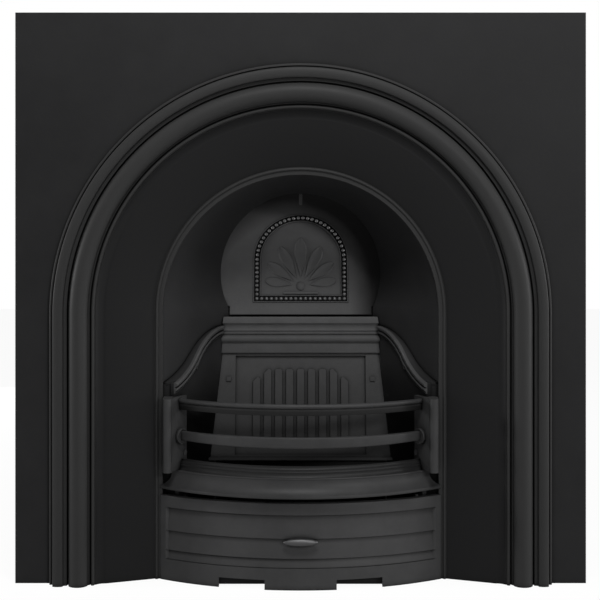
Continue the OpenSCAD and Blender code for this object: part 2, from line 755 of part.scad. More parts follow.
// one bracket on each side: foot on the flue ring, eye for the rod, arm that stops the damper
module damper_brackets() {
    seat = throat_y + hood_t;
    arm_t = 6;
    arm_h = 32;
    foot_w = 22;
    side_step = 0.5;
    placed() color(iron) both_sides() difference() {
        union() {
            translate([damper_bracket_x + side_step, seat, hinge_z - 9])
                cube([damper_bracket_w - 2 * side_step, hinge_y - seat, 11]);
            translate([damper_bracket_x, seat, hinge_z - 9]) cube([foot_w, 4, 12]);
            translate([damper_bracket_x, hinge_y, hinge_z]) rotate([0, 90, 0])
                cylinder(h = damper_bracket_w, r = knuckle_r);
            translate([damper_bracket_x, hinge_y, hinge_z]) rotate([-damper_lean, 0, 0])
                translate([side_step, damper_t - damper_offset + rest_gap, 0])
                    cube([damper_bracket_w - 2 * side_step, arm_t, arm_h]);
        }
        translate([0, hinge_y, hinge_z]) rotate([0, 90, 0])
            cylinder(h = 2 * damper_r, r = rod_r + bolt_fit * 0.2);
        translate([damper_bracket_x + damper_bracket_w + 5, seat - 1, hinge_z]) rotate([-90, 0, 0])
            cylinder(h = 6, r = small_r + bolt_fit);
    }
}

// upright bar behind the crown of the opening; the closed damper meets it and leaves a draught gap
module damper_stop() {
    seat = throat_y + hood_t;
    top = throat_z + throat_r + ring_w;
    drop = 21;
    placed() color(iron) difference() {
        union() {
            translate([-stop_w / 2, seat, throat_z + throat_r - drop + stop_w / 2])
                cube([stop_w, 9, drop - stop_w / 2]);
            translate([0, seat + 9, throat_z + throat_r - drop + stop_w / 2]) rotate([90, 0, 0])
                cylinder(h = 9, d = stop_w);
            translate([-8, seat, throat_z + throat_r]) cube([16, 5, ring_w - 2]);
        }
        translate([0, seat - 1, throat_z + throat_r + ring_w * 0.55]) rotate([-90, 0, 0])
            cylinder(h = 8, r = small_r + bolt_fit);
    }
}

module bracket_screws() {
    placed() color(steel) {
        both_sides() translate([damper_bracket_x + damper_bracket_w + 5, throat_y + hood_t + 4, hinge_z])
            rotate([-90, 0, 0]) hex_bolt(8, small_r, 3);
        translate([0, throat_y + hood_t + 5, throat_z + throat_r + ring_w * 0.55])
            rotate([-90, 0, 0]) hex_bolt(9, small_r, 3);
    }
}

// ---- fire front -------------------------------------------------------------

front_half_angle = 60;

// the bars, at a given growth of the section for the sockets
module top_bar_section(grow) {
    roll = 8;
    translate([bar_r - bar_t - 3 - grow, top_bar_z - grow])
        square([bar_t + 2 * grow, top_bar_h - roll * 0.5 + 2 * grow]);
    translate([bar_r - roll * 0.5, top_bar_z + top_bar_h - roll * 0.5]) circle(d = roll + 2 * grow, $fn = 40);
    translate([bar_r - bar_t - 3 - grow, top_bar_z + top_bar_h - roll - grow])
        square([bar_t, roll + 2 * grow]);
}

module mid_bar_section(grow) {
    r = 2.5;
    translate([bar_r - bar_t - grow, mid_bar_z - grow]) square([bar_t - r + grow, mid_bar_h + 2 * grow]);
    translate([bar_r - r - 1, mid_bar_z + r - grow]) square([r + 1 + grow, mid_bar_h - 2 * r + 2 * grow]);
    for (z = [mid_bar_z + r, mid_bar_z + mid_bar_h - r])
        translate([bar_r - r, z]) circle(r = r + grow, $fn = 32);
}

module bar_ring() {
    front_arc(bar_r, bar_front, front_half_angle) children();
}

module within_x(half) {
    intersection() {
        children();
        translate([-half, -plate_w / 2, 0]) cube([2 * half, plate_w, plate_h]);
    }
}

// trims the middle bar's underside to a shallow arc, lower in the middle
module mid_bar_lens() {
    rise = mid_bar_h - mid_bar_end_h;
    top = mid_bar_z + mid_bar_h + 1;
    translate([0, plate_w / 2, 0]) rotate([90, 0, 0]) linear_extrude(plate_w)
        polygon(concat([[bar_span, top], [-bar_span, top]],
            swell([-bar_span, mid_bar_z + rise], [bar_span, mid_bar_z + rise], -rise, 24)));
}

module top_bar() {
    placed() color(iron) within_x(bar_end_x) bar_ring() top_bar_section(0);
}

module middle_bar() {
    placed() color(iron) within_x(bar_end_x) intersection() {
        bar_ring() mid_bar_section(0);
        mid_bar_lens();
    }
}

// plan of the right jamb: round-nosed post with a return wall that lies on the cheek
function on_plan(s, inward) = [
    cheek_x - s * sin(cheek_splay) - inward * cos(cheek_splay),
    rim_back_y + s * cos(cheek_splay) - inward * sin(cheek_splay)];

jamb_nose_y = -1;
return_s = 17;
return_t = 9;

module jamb_plan() {
    mid = jamb_x + jamb_w / 2;
    translate([mid, jamb_nose_y]) circle(d = jamb_w, $fn = 64);
    translate([jamb_x, jamb_nose_y]) square([jamb_w, front_end_y - jamb_nose_y]);
    polygon([[jamb_x + 1, 2], on_plan(return_s, return_t), on_plan(return_s, 0.3),
        on_plan(cheek_front_s, 0.3), [jamb_x + 1, front_end_y - 1]]);
}

module bar_socket(z, h) {
    a = asin(bar_span / bar_r);
    translate([bar_span - 1, bar_end_y - 1, z + h / 2]) rotate([0, 0, a - 90])
        translate([-bar_t / 2 + 0.5, 0, 0]) rotate([90, 0, 0])
            translate([0, 0, -8]) cylinder(h = 14, r = socket_r);
}

module jamb() {
    low = skirt_z + cove_h + 0.3;
    difference() {
        union() {
            translate([0, 0, low]) linear_extrude(jamb_top_z - low) jamb_plan();
            intersection() {
                bar_socket(mid_bar_z, mid_bar_h);
                cheek_frame() translate([-60, 0.3, 0]) cube([60 + return_s, 60, plate_h]);
            }
        }
        within_x(bar_end_x + bar_fit) bar_ring() top_bar_section(bar_fit);
        within_x(bar_end_x + bar_fit) bar_ring() mid_bar_section(bar_fit);
        cheek_frame() translate([jamb_bolt_s, return_t + 2, jamb_bolt_z]) rotate([90, 0, 0])
            cylinder(h = return_t + 4, r = bolt_r + bolt_fit);
        cheek_frame() translate([jamb_bolt_s, return_t + 12, jamb_bolt_z]) rotate([90, 0, 0])
            cylinder(h = 15, r = bolt_r * 2.2);
    }
}

module jamb_right() {
    placed() color(iron) jamb();
}

module jamb_left() {
    placed() color(iron) mirror([1, 0, 0]) jamb();
}

// section of the skirt: x is the distance from the arc's centre, y is up
module skirt_section() {
    back = skirt_r - 26;
    top = skirt_z + cove_h;
    polygon(concat(
        [[skirt_r - 1, skirt_z], [skirt_r, skirt_z + 1.5], [skirt_r - 0.5, skirt_z + 5]],
        swell([skirt_r - 2, skirt_z + 6], [skirt_r - 13, top - 4], 3.2, 10),
        [[skirt_r - 13, top - 3], [skirt_r - 12, top - 1], [skirt_r - 14, top + 0.2],
            [back - 2, top + 0.2], [back - 2, top - 8], [skirt_r - 17, skirt_z + 8],
            [skirt_r - 9, skirt_z]]));
}

module skirt_step_section() {
    top = skirt_z + cove_h;
    r = bar_r - 2;
    polygon(concat(
        [[r - 1, top - 2]], swell([r - 1, top + 0.5], [r - 3, top + step_h * 0.45], 1.2, 5),
        [[r - 5, top + step_h * 0.5], [r - 5, top + step_h * 0.62]],
        swell([r - 5, top + step_h * 0.66], [r - 8, top + step_h], 1.5, 5),
        [[r - 12, top + step_h], [r - 12, top - 2]]));
}

module front_skirt() {
    lug_t = 8;
    placed() color(iron) difference() {
        union() {
            intersection() {
                within_x(front_span) front_arc(skirt_r, skirt_front, front_half_angle) skirt_section();
                translate([-plate_w / 2, -plate_w, 0]) cube([plate_w, plate_w + front_end_y, plate_h]);
            }
            intersection() {
                within_x(cheek_x - 6) bar_ring() skirt_step_section();
                skirt_step_limits();
            }
            skirt_lugs(lug_t);
        }
        both_sides() {
            translate([0, 0, skirt_z + cove_h]) linear_extrude(plate_h) jamb_relief();
            cheek_frame() translate([skirt_bolt_s, lug_t + 2, skirt_bolt_z]) rotate([90, 0, 0])
                cylinder(h = lug_t + 4, r = bolt_r + bolt_fit);
            cheek_frame() translate([cheek_front_s - 1, -20, 0]) cube([120, 20.3, plate_h]);
        }
    }
}

// the stepped rail stops short of the jambs' return walls
module skirt_step_limits() {
    difference() {
        translate([-plate_w / 2, -plate_w / 2, 0]) cube([plate_w, plate_w, plate_h]);
        both_sides() linear_extrude(plate_h) jamb_relief();
    }
}

module jamb_relief() {
    translate([0.3, 0]) jamb_plan();
    translate([-0.3, 0]) jamb_plan();
    translate([0, -0.3]) jamb_plan();
    translate([-0.25, 0.25]) jamb_plan();
}

// ears that hang behind the skirt's ends and bolt to the cheeks
module skirt_lugs(t) {
    both_sides() intersection() {
        cheek_frame() translate([cheek_front_s, 0.3, skirt_bolt_z - 9]) cube([32, t, skirt_z + cove_h - skirt_bolt_z]);
        translate([0, -10, 0]) cube([cheek_x + 10, 80, plate_h]);
    }
}

// ---- grate, ashpan and cover --------------------------------------------------

grate_front_r = bar_r - bar_t - 12 - grate_gap;
grate_rear_y = fireback_y - foot_lip - grate_gap;

module grate_outline() {
    inset = grate_gap / cos(cheek_splay);
    front_half = cheek_face_x(grate_start_y) - inset - 12;
    side_half = cheek_face_x(grate_start_y) - inset;
    rear_half = cheek_face_x(grate_rear_y) - inset;
    intersection() {
        translate([0, bar_r - bar_front]) circle(r = grate_front_r, $fn = 200);
        polygon([[-front_half, -bar_front], [front_half, -bar_front], [front_half, grate_start_y],
            [side_half, grate_start_y], [rear_half, grate_rear_y], [-rear_half, grate_rear_y],
            [-side_half, grate_start_y], [-front_half, grate_start_y]]);
    }
}

grate_start_y = rim_back_y + return_s + 4;
rear_lip = 3;

module bottom_grate() {
    pitch = slot_w * 2;
    placed() color(iron) translate([0, 0, grate_z - grate_t]) {
        linear_extrude(grate_t) difference() {
            grate_outline();
            for (i = [0:slot_count - 1]) let (x = (i - (slot_count - 1) / 2) * pitch)
                grate_slot(x);
        }
        translate([-cheek_face_x(grate_rear_y) + grate_gap * 3, grate_rear_y - 9, grate_t - eps])
            cube([2 * cheek_face_x(grate_rear_y) - grate_gap * 6, 9, rear_lip]);
    }
}

// one slot, from near the front edge to near the rear edge, with round ends
module grate_slot(x) {
    front = -sqrt(pow(grate_front_r, 2) - x * x) + bar_r - bar_front + 18;
    for (y = [front, grate_rear_y - 22]) translate([x, y]) circle(d = slot_w, $fn = 32);
    translate([x - slot_w / 2, front]) square([slot_w, grate_rear_y - 22 - front]);
}

module ashpan() {
    rim = 7;
    placed() color(iron) translate([-pan_w / 2, -pan_front, 0]) difference() {
        union() {
            cube([pan_w, pan_d, pan_h]);
            translate([-rim / 2, 0, pan_h - pan_t * 2]) cube([pan_w + rim, pan_d + rim / 2, pan_t * 2]);
        }
        translate([pan_t, pan_t, pan_t]) cube([pan_w - 2 * pan_t, pan_d - 2 * pan_t, pan_h]);
        for (x = [pan_w / 2 - handle_w / 2, pan_w / 2 + handle_w / 2])
            translate([x, -1, handle_z]) rotate([-90, 0, 0]) cylinder(h = pan_t + 2, r = handle_r + 0.2);
    }
}

handle_w = 90;
handle_r = 3;
handle_z = pan_h * 0.6;
handle_reach = 16;

module ashpan_handle() {
    bend = 7;
    y0 = -pan_front;
    placed() color(steel) translate([0, y0, handle_z]) {
        both_sides() {
            translate([handle_w / 2, pan_t + 4, 0]) rotate([90, 0, 0])
                cylinder(h = handle_reach - bend + pan_t + 4, r = handle_r);
            translate([handle_w / 2 - bend, -handle_reach + bend, 0]) rotate([0, 0, -90])
                rotate_extrude(angle = 90) translate([bend, 0]) circle(r = handle_r, $fn = 32);
            translate([handle_w / 2, pan_t, 0]) rotate([-90, 0, 0]) cylinder(h = 3, r = handle_r + 3);
        }
        translate([-handle_w / 2 + bend - eps, -handle_reach, 0]) rotate([0, 90, 0])
            cylinder(h = handle_w - 2 * bend + 2 * eps, r = handle_r);
    }
}

// depth of each weatherboard at its top; it comes forward to the next one below
board_tops = [1, 0.551, 0.177];

module panel_section() {
    r = cover_r;
    reach = 1.6;
    n = len(board_tops);
    polygon(concat([[r + 2, panel_z + panel_h], [r - panel_d, panel_z + panel_h - 1]],
        [for (i = [0:n - 1]) each [
            [r - panel_d, panel_z + panel_h * board_tops[i] - (i == 0 ? 2 : 0)],
            [r - reach, panel_z + panel_h * (i == n - 1 ? 0 : board_tops[i + 1]) + 1.5],
            [r - reach - 0.4, panel_z + panel_h * (i == n - 1 ? 0 : board_tops[i + 1])]]],
        [[r + 2, panel_z]]));
}

module ashpan_cover() {
    placed() color(iron) difference() {
        intersection() {
            within_x(front_span) front_arc(cover_r, cover_front, front_half_angle)
                polygon([[cover_r - cover_t, 0], [cover_r, 0], [cover_r, cover_h - 1.5],
                    [cover_r - 1.5, cover_h], [cover_r - cover_t, cover_h]]);
            translate([-plate_w / 2, -plate_w, 0]) cube([plate_w, plate_w + front_end_y, plate_h]);
        }
        within_x(panel_span) front_arc(cover_r, cover_front, front_half_angle) panel_section();
        both_sides() translate([notch_x, -plate_w / 2, -eps]) cube([notch_w, plate_w, notch_h]);
        translate([0, -cover_front - 2, knob_z]) rotate([-90, 0, 0])
            cylinder(h = cover_t + 4, r = stud_r + bolt_fit);
    }
}

stud_r = 2.5;
knob_neck = 9;
knob_seat_y = -cover_front + panel_d * 0.8 - 0.2;
knob_y = knob_seat_y - knob_neck;

// the oval knob is turned about its long axis, with a short neck and a stud through the cover
module cover_knob() {
    steps = 24;
    placed() color(steel) {
        translate([0, knob_y, knob_z]) rotate([0, 90, 0]) rotate_extrude()
            polygon([for (i = [0:steps]) let (a = 180 * i / steps)
                [knob_d / 2 * sin(a), -knob_l / 2 * cos(a)]]);
        translate([0, knob_y, knob_z]) rotate([-90, 0, 0]) cylinder(h = knob_seat_y - knob_y, r = 3.5);
        translate([0, knob_y, knob_z]) rotate([-90, 0, 0])
            cylinder(h = -cover_front + cover_t + head_h + 2 - knob_y, r = stud_r);
    }
}

module knob_nut() {
    placed() color(steel) translate([0, -cover_front + cover_t + nut_gap, knob_z])
        rotate([-90, 0, 0]) difference() {
            union() {
                cylinder(h = 1.2, r = 7);
                translate([0, 0, 1.2 - eps]) cylinder(h = head_h - 1.2, r = 5, $fn = 6);
            }
            translate([0, 0, -1]) cylinder(h = head_h + 2, r = stud_r + 0.1);
        }
}

// ---- fixings ------------------------------------------------------------------

module canopy_bolts() {
    placed() color(steel) rim_bolt_places() translate([0, hood_t, 0]) rotate([-90, 0, 0])
        hex_bolt(hood_t + rim_tap_d - 1);
}

module cheek_bolts() {
    placed() color(steel) cheek_bolt_places() translate([0, hood_t, 0]) rotate([-90, 0, 0])
        hex_bolt(hood_t + rim_tap_d - 1);
}

// square heads that show in the fireback's side strips
module fireback_bolts() {
    placed() color(iron) fireback_frame() both_sides() translate([bolt_lug_x, 0, bolt_lug_z]) {
        translate([-4, -2.5, -4]) cube([8, 2.5, 8]);
        rotate([-90, 0, 0]) translate([0, 0, -eps]) cylinder(h = fireback_back + 6 + 6, r = bolt_r);
    }
}

module fireback_nuts() {
    placed() color(steel) fireback_frame() both_sides()
        translate([bolt_lug_x, fireback_back + 6.3, bolt_lug_z]) rotate([-90, 0, 0]) difference() {
            cylinder(h = head_h, r = bolt_r * 1.7, $fn = 6);
            translate([0, 0, -1]) cylinder(h = head_h + 2, r = bolt_r + 0.1);
        }
}

// a bolt through the cheek from inside, with its nut outside
module cheek_wall_bolt(seat) {
    translate([0, seat, 0]) rotate([-90, 0, 0]) hex_bolt(seat + cheek_t + head_h + 1);
    translate([0, -cheek_t, 0]) rotate([90, 0, 0]) cylinder(h = head_h, r = bolt_r * 1.85, $fn = 6);
}

module jamb_bolts() {
    placed() color(steel) both_sides() cheek_frame()
        translate([jamb_bolt_s, 0, jamb_bolt_z]) cheek_wall_bolt(return_t - 3);
}

module skirt_bolts() {
    placed() color(steel) both_sides() cheek_frame()
        translate([skirt_bolt_s, 0, skirt_bolt_z]) cheek_wall_bolt(8.3);
}

bracket_bolt_inset = 28;
bracket_bolt_x = plate_w / 2 - bracket_bolt_inset;

module wall_brackets() {
    y = plate_t + edge_rib_h;
    foot_x = bracket_bolt_x - bracket_leg / 2;
    placed() color(iron) both_sides() for (z = [bracket_low_z, bracket_high_z])
        translate([0, y, z - bracket_w / 2]) difference() {
            union() {
                translate([foot_x, 0, 0]) cube([bracket_leg - 12, bracket_t, bracket_w]);
                translate([foot_x, 0, 0]) cube([bracket_t, bracket_leg, bracket_w]);
            }
            translate([bracket_bolt_x, -1, bracket_w / 2]) rotate([-90, 0, 0])
                cylinder(h = bracket_t + 2, r = bolt_r + bolt_fit);
            translate([foot_x - 1, bracket_leg - 14, bracket_w / 2]) rotate([0, 90, 0])
                cylinder(h = bracket_t + 2, r = wall_hole_r);
        }
}

module wall_bracket_bolts() {
    placed() color(steel) both_sides() for (z = [bracket_low_z, bracket_high_z])
        translate([bracket_bolt_x, plate_t + edge_rib_h + bracket_t, z]) rotate([-90, 0, 0])
            hex_bolt(bracket_t + edge_rib_h + 1);
}

front_plate();
canopy();
cheek_left();
cheek_right();
fireback();
damper_plate();
damper_rod();
damper_brackets();
damper_stop();
bracket_screws();
jamb_left();
jamb_right();
top_bar();
middle_bar();
front_skirt();
bottom_grate();
ashpan();
ashpan_handle();
ashpan_cover();
cover_knob();
knob_nut();
canopy_bolts();
cheek_bolts();
fireback_bolts();
fireback_nuts();
jamb_bolts();
skirt_bolts();
wall_brackets();
wall_bracket_bolts();
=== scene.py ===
"""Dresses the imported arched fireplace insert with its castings, finishes, light and camera.

Every shape is worked out in millimetres, as a pattern maker would draw it: X to the right, Y into
the wall from the front face of the face plate, Z up from the hearth. Casting.point moves each
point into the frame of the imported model.
"""
from __future__ import annotations

import logging
import math
from dataclasses import dataclass
from enum import Enum
from typing import Callable, Iterable, Sequence, Union

import bmesh
import bpy
from mathutils import Matrix, Vector

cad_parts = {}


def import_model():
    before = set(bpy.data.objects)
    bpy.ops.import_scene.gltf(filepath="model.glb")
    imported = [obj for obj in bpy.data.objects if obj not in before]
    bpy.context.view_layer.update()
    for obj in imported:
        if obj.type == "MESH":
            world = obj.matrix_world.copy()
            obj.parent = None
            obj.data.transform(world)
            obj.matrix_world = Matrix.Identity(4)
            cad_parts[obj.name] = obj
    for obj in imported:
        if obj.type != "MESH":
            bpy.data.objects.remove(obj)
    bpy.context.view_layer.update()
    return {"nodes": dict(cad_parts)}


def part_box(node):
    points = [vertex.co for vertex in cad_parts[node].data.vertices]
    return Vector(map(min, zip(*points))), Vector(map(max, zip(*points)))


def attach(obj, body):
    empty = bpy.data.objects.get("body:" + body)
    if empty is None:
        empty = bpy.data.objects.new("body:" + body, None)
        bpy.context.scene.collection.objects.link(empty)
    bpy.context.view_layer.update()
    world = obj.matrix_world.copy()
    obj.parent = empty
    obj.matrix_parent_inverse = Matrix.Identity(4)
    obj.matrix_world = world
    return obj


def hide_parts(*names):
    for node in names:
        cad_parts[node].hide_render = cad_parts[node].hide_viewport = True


LOG = logging.getLogger("fireplace")
Point2 = tuple[float, float]
Point3 = tuple[float, float, float]
Corners = tuple[Point3, Point3]
Colour = tuple[float, float, float]
Number = Union[int, float]
Socket = bpy.types.NodeSocket
Tint = Union[Colour, Socket]
MM_PER_M = 1000
TINY = 1e-6
LONGEST_EASE = 0.45
BUMP_M = 0.001
# The colour of painted shade in corners and creases.
CORNER_SHADE: Colour = (0.0012, 0.0012, 0.0012)
# The colour of painted shade low on the firebox and on the damper's edge.
PAINTED_SHADE_TONE: Colour = (0.006, 0.006, 0.006)
WHITE = (1, 1, 1, 1)
# Random patterns: cells in a metre, finer layers, and how strong these are.
CLOUDS, PATCHES, SAND, HOLLOWS = (7, 5, 0.6), (46, 4, 0.62), (620, 3, 0.6), (190, 2, 0.5)


class Axis(Enum):
    """The direction in which a flat outline is given its thickness."""

    ACROSS = "x"
    BACK = "y"
    UP = "z"


class Part(Enum):
    """A part of the arch's path."""

    RIGHT = "right leg"
    HEAD = "head"
    LEFT = "left leg"


# A part of the arch's path, and the height on a leg or the angle in degrees on the head.
Station = tuple[Part, float]


# ---- drawing -------------------------------------------------------------------------------


def cos_deg(degrees: float) -> float:
    """The cosine of an angle in degrees."""
    return math.cos(math.radians(degrees))


def sin_deg(degrees: float) -> float:
    """The sine of an angle in degrees."""
    return math.sin(math.radians(degrees))


def tan_deg(degrees: float) -> float:
    """The tangent of an angle in degrees."""
    return math.tan(math.radians(degrees))


def leaning(y: float, z: float, lean: float) -> Matrix:
    """The frame of a plate that leans back by some degrees, with its foot at y and z."""
    return Matrix.Translation((0, y, z)) @ Matrix.Rotation(math.radians(-lean), 4, "X")


def placed(name: str, data: bpy.types.ID) -> bpy.types.Object:
    """Makes an object of some data and puts it into the scene.

    Args:
        name: its name.
        data: its mesh, lamp or camera.

    Returns:
        The object.
    """
    obj = bpy.data.objects.new(name, data)
    bpy.context.scene.collection.objects.link(obj)
    return obj


def arc(cx: float, cy: float, radius: float, start: float, end: float, steps: int) -> list[Point2]:
    """Points along a circular arc.

    Args:
        cx, cy: the centre.
        radius: the radius.
        start, end: angles in degrees.
        steps: the number of chords.

    Returns:
        The points, both ends included.
    """
    turns = [start + (end - start) * i / steps for i in range(steps + 1)]
    return [(cx + radius * cos_deg(a), cy + radius * sin_deg(a)) for a in turns]


def arc_radius(span: float, rise: float) -> float:
    """The radius of an arc from half its chord and its height over the chord."""
    return (span * span + rise * rise) / (2 * rise)


def swell(p: Point2, q: Point2, height: float, steps: int) -> list[Point2]:
    """A round swelling between two points.

    Args:
        p, q: the ends.
        height: how far the curve rises to the left of the way from p to q.
        steps: the number of chords.

    Returns:
        The points, both ends included.
    """
    a, b = Vector(p), Vector(q)
    chord = (b - a).length
    radius = arc_radius(chord / 2, abs(height))
    along = (b - a) / chord
    up = Vector((-along.y, along.x)) * (1 if height > 0 else -1)
    half = math.asin(chord / 2 / radius)
    middle = (a + b) / 2 + up * (abs(height) - radius)
    turns = [-half + 2 * half * i / steps for i in range(steps + 1)]
    return [tuple(middle + radius * (math.sin(t) * along + math.cos(t) * up)) for t in turns]


def beside(origin: Point2, *steps: Point2) -> list[Point2]:
    """Points given by how far they lie from an origin."""
    return [(origin[0] + a, origin[1] + b) for a, b in steps]


def eased(outline: Sequence[Point2], radius: float, steps: int = 3,
          least: float = 24) -> list[Point2]:
    """Rounds the corners of a closed outline, as a mould does.

    Args:
        outline: the corners.
        radius: how far from a corner the rounding starts.
        steps: chords in each rounding.
        least: corners that turn by fewer degrees than this stay as they are.

    Returns:
        The rounded outline.
    """
    count, done = len(outline), []
    for i in range(count):
        before, here, after = (Vector(outline[(i + k) % count]) for k in (-1, 0, 1))
        back, on = before - here, after - here
        if min(back.length, on.length) < TINY:
            continue
        turn = 180 - math.degrees(back.angle(on))
        if turn < least:
            done.append(tuple(here))
            continue
        start = here + back.normalized() * min(radius, back.length * LONGEST_EASE)
        end = here + on.normalized() * min(radius, on.length * LONGEST_EASE)
        for k in range(steps + 1):
            t = k / steps
            done.append(tuple(start * (1 - t) ** 2 + here * 2 * t * (1 - t) + end * t * t))
    return done


def spread(low: float, high: float, count: int) -> list[float]:
    """Evenly spaced values from low to high, both included."""
    return [low + (high - low) * i / (count - 1) for i in range(count)]


class Casting:
    """Collects the surfaces of one piece in millimetres and makes it an object of the scene.

    Attributes:
        front: where the face plate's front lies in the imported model.
        bevel_from, sharp_from: the turns in degrees from which an edge is rounded or left sharp.
    """

    front = 0.0
    bevel_from = 34
    sharp_from = 38

    def __init__(self, name: str, place: Matrix | None = None, left: bool = False) -> None:
        """Starts an empty piece.

        Args:
            name: the piece's name.
            place: moves what is drawn next, such as into a cheek's own plane.
            left: draws the mirror image, for the piece on the left.
        """
        self.name = name
        self.place = place or Matrix.Identity(4)
        self.left = left
        self.mesh = bmesh.new()

    def point(self, x: float, y: float, z: float) -> bmesh.types.BMVert:
        """Adds one point, given in the piece's present place.

        Args:
            x, y, z: the point, in millimetres.

        Returns:
            Its vertex.
        """
        p = self.place @ Vector((x, y, z))
        if self.left:
            p.x = -p.x
        return self.mesh.verts.new(Vector((p.x, p.y + self.front, p.z)) / MM_PER_M)

    def grid(self, rows: Sequence[Sequence[Sequence[float]]], around: bool = False) -> list[list]:
        """Adds a sheet of quads.

        Args:
            rows: rows of points.
            around: whether each row closes on itself.

        Returns:
            The rows of vertices.
        """
        made = [[self.point(*p) for p in row] for row in rows]
        for a, b in zip(made, made[1:]):
            for i in range(len(a) if around else len(a) - 1):
                j = (i + 1) % len(a)
                self.mesh.faces.new((a[i], a[j], b[j], b[i]))
        return made

    def tube(self, loops: Sequence[Sequence[Sequence[float]]]) -> None:
        """Adds a solid from loops of points that follow each other, with both ends closed.

        Args:
            loops: the loops, all with the same number of points.
        """
        made = self.grid(loops, around=True)
        self.mesh.faces.new(made[0])
        self.mesh.faces.new(made[-1])

    def slab(self, outline: Sequence[Point2], low: float, high: float,
             axis: Axis = Axis.BACK) -> None:
        """Adds a flat outline with a thickness.

        Args:
            outline: the corners, in the two directions other than axis, in X, Y, Z order.
            low, high: where the slab starts and ends along axis.
            axis: the direction of the thickness.
        """
        def put(p: Point2, d: float) -> Point3:
            """One corner at a depth.

            Args:
                p: the corner.
                d: the depth.

            Returns:
                The point.
            """
            if axis is Axis.BACK:
                return p[0], d, p[1]
            return (p[0], p[1], d) if axis is Axis.UP else (d, p[0], p[1])

        self.tube([[put(p, low) for p in outline], [put(p, high) for p in outline]])

    def block(self, low: Sequence[float], high: Sequence[float]) -> None:
        """Adds a rectangular block from its lowest and highest corners."""
        outline = [(low[0], low[1]), (high[0], low[1]), (high[0], high[1]), (low[0], high[1])]
        self.slab(outline, low[2], high[2], Axis.UP)

    def lathe(self, profile: Sequence[Point2], centre: Sequence[float], axis: Axis,
              steps: int = 48) -> None:
        """Adds a turned form.

        Args:
            profile: [distance along the axis, radius], from end to end; a radius of 0 makes a pole.
            centre: a point on the axis.
            axis: the axis of turning.
            steps: the number of facets round it.
        """
        frame = {Axis.ACROSS: (0, 1, 2), Axis.BACK: (1, 2, 0), Axis.UP: (2, 0, 1)}[axis]
        rings = []
        for along, radius in profile:
            count = 1 if radius < TINY else steps
            ring = []
            for i in range(count):
                a, p = 2 * math.pi * i / steps, list(centre)
                p[frame[0]] += along
                p[frame[1]] += radius * math.cos(a)
                p[frame[2]] += radius * math.sin(a)
                ring.append(self.point(*p))
            rings.append(ring)
        for a, b in zip(rings, rings[1:]):
            for i in range(steps):
                j = (i + 1) % steps
                corner = [a[i % len(a)], a[j % len(a)], b[j % len(b)], b[i % len(b)]]
                self.mesh.faces.new(list(dict.fromkeys(corner)))
        for ring in (rings[0], rings[-1]):
            if len(ring) > 1:
                self.mesh.faces.new(ring)

    def cut(self, obj: bpy.types.Object, cutter: "Casting") -> None:
        """Cuts another casting's solid out of a finished piece, for good.

        Args:
            obj: the piece.
            cutter: what is cut out of it.
        """
        tool = cutter.object()
        step = obj.modifiers.new("cut", "BOOLEAN")
        step.object, step.operation, step.solver = tool, "DIFFERENCE", "EXACT"
        bpy.context.view_layer.update()
        result = obj.evaluated_get(bpy.context.evaluated_depsgraph_get())
        shape = bpy.data.meshes.new_from_object(result)
        obj.modifiers.clear()
        old, obj.data = obj.data, shape
        bpy.data.meshes.remove(old)
        bpy.data.objects.remove(tool)

    def object(self) -> bpy.types.Object:
        """Turns the surfaces into a mesh object with its faces turned outwards.

        Returns:
            The object.
        """
        bmesh.ops.recalc_face_normals(self.mesh, faces=self.mesh.faces)
        data = bpy.data.meshes.new(self.name)
        self.mesh.to_mesh(data)
        self.mesh.free()
        return placed(self.name, data)

    def finish(self, nodes: Sequence[str], body: str, slot: str, finish: "Finish",
               bevel: float = 0.8, cutter: "Casting | None" = None) -> bpy.types.Object:
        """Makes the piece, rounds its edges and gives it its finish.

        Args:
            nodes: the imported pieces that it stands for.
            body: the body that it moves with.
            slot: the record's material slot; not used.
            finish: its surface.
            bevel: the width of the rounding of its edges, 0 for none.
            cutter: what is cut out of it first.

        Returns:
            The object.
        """
        obj = self.object()
        if cutter:
            self.cut(obj, cutter)
        for face in obj.data.polygons:
            face.use_smooth = True
        if bevel:
            step = obj.modifiers.new("eased edges", "BEVEL")
            step.width, step.segments = bevel / MM_PER_M, 2
            step.limit_method, step.angle_limit = "ANGLE", math.radians(self.bevel_from)
            step.harden_normals = True
        else:
            obj.data.set_sharp_from_angle(angle=math.radians(self.sharp_from))
        obj.data.materials.append(finish.material())
        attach(obj, body)
        if nodes:
            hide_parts(*nodes)
        LOG.info("%s: %d faces, for %s", self.name, len(obj.data.polygons),
                 ", ".join(nodes) or "trim")
        return obj


# ---- finishes ------------------------------------------------------------------------------


class Term:
    """A shader socket in arithmetic: an expression on terms adds its Math nodes."""

    def __init__(self, bench: "Bench", socket: Socket) -> None:
        """Wraps a socket of a material's node tree."""
        self.bench, self.socket = bench, socket

    def maths(self, operation: str, *values: "Term | Number") -> "Term":
        """Adds one Math node and returns its result.

        Args:
            operation: the node's operation.
            values: what it works on.

        Returns:
            The result.
        """
        sockets = {i: v for i, v in enumerate(values)}
        made = self.bench.node("ShaderNodeMath", {"operation": operation}, sockets)
        return Term(self.bench, made.outputs[0])

    def __add__(self, other: "Term | Number") -> "Term":
        """self + other."""
        return self.maths("ADD", self, other)

    __radd__ = __add__

    def __sub__(self, other: "Term | Number") -> "Term":
        """self - other."""
        return self.maths("SUBTRACT", self, other)

    def __rsub__(self, other: Number) -> "Term":
        """other - self."""
        return self.maths("SUBTRACT", other, self)

    def __mul__(self, other: "Term | Number") -> "Term":
        """self * other."""
        return self.maths("MULTIPLY", self, other)

    __rmul__ = __mul__

    def __pow__(self, other: Number) -> "Term":
        """self to the power of other."""
        return self.maths("POWER", self, other)


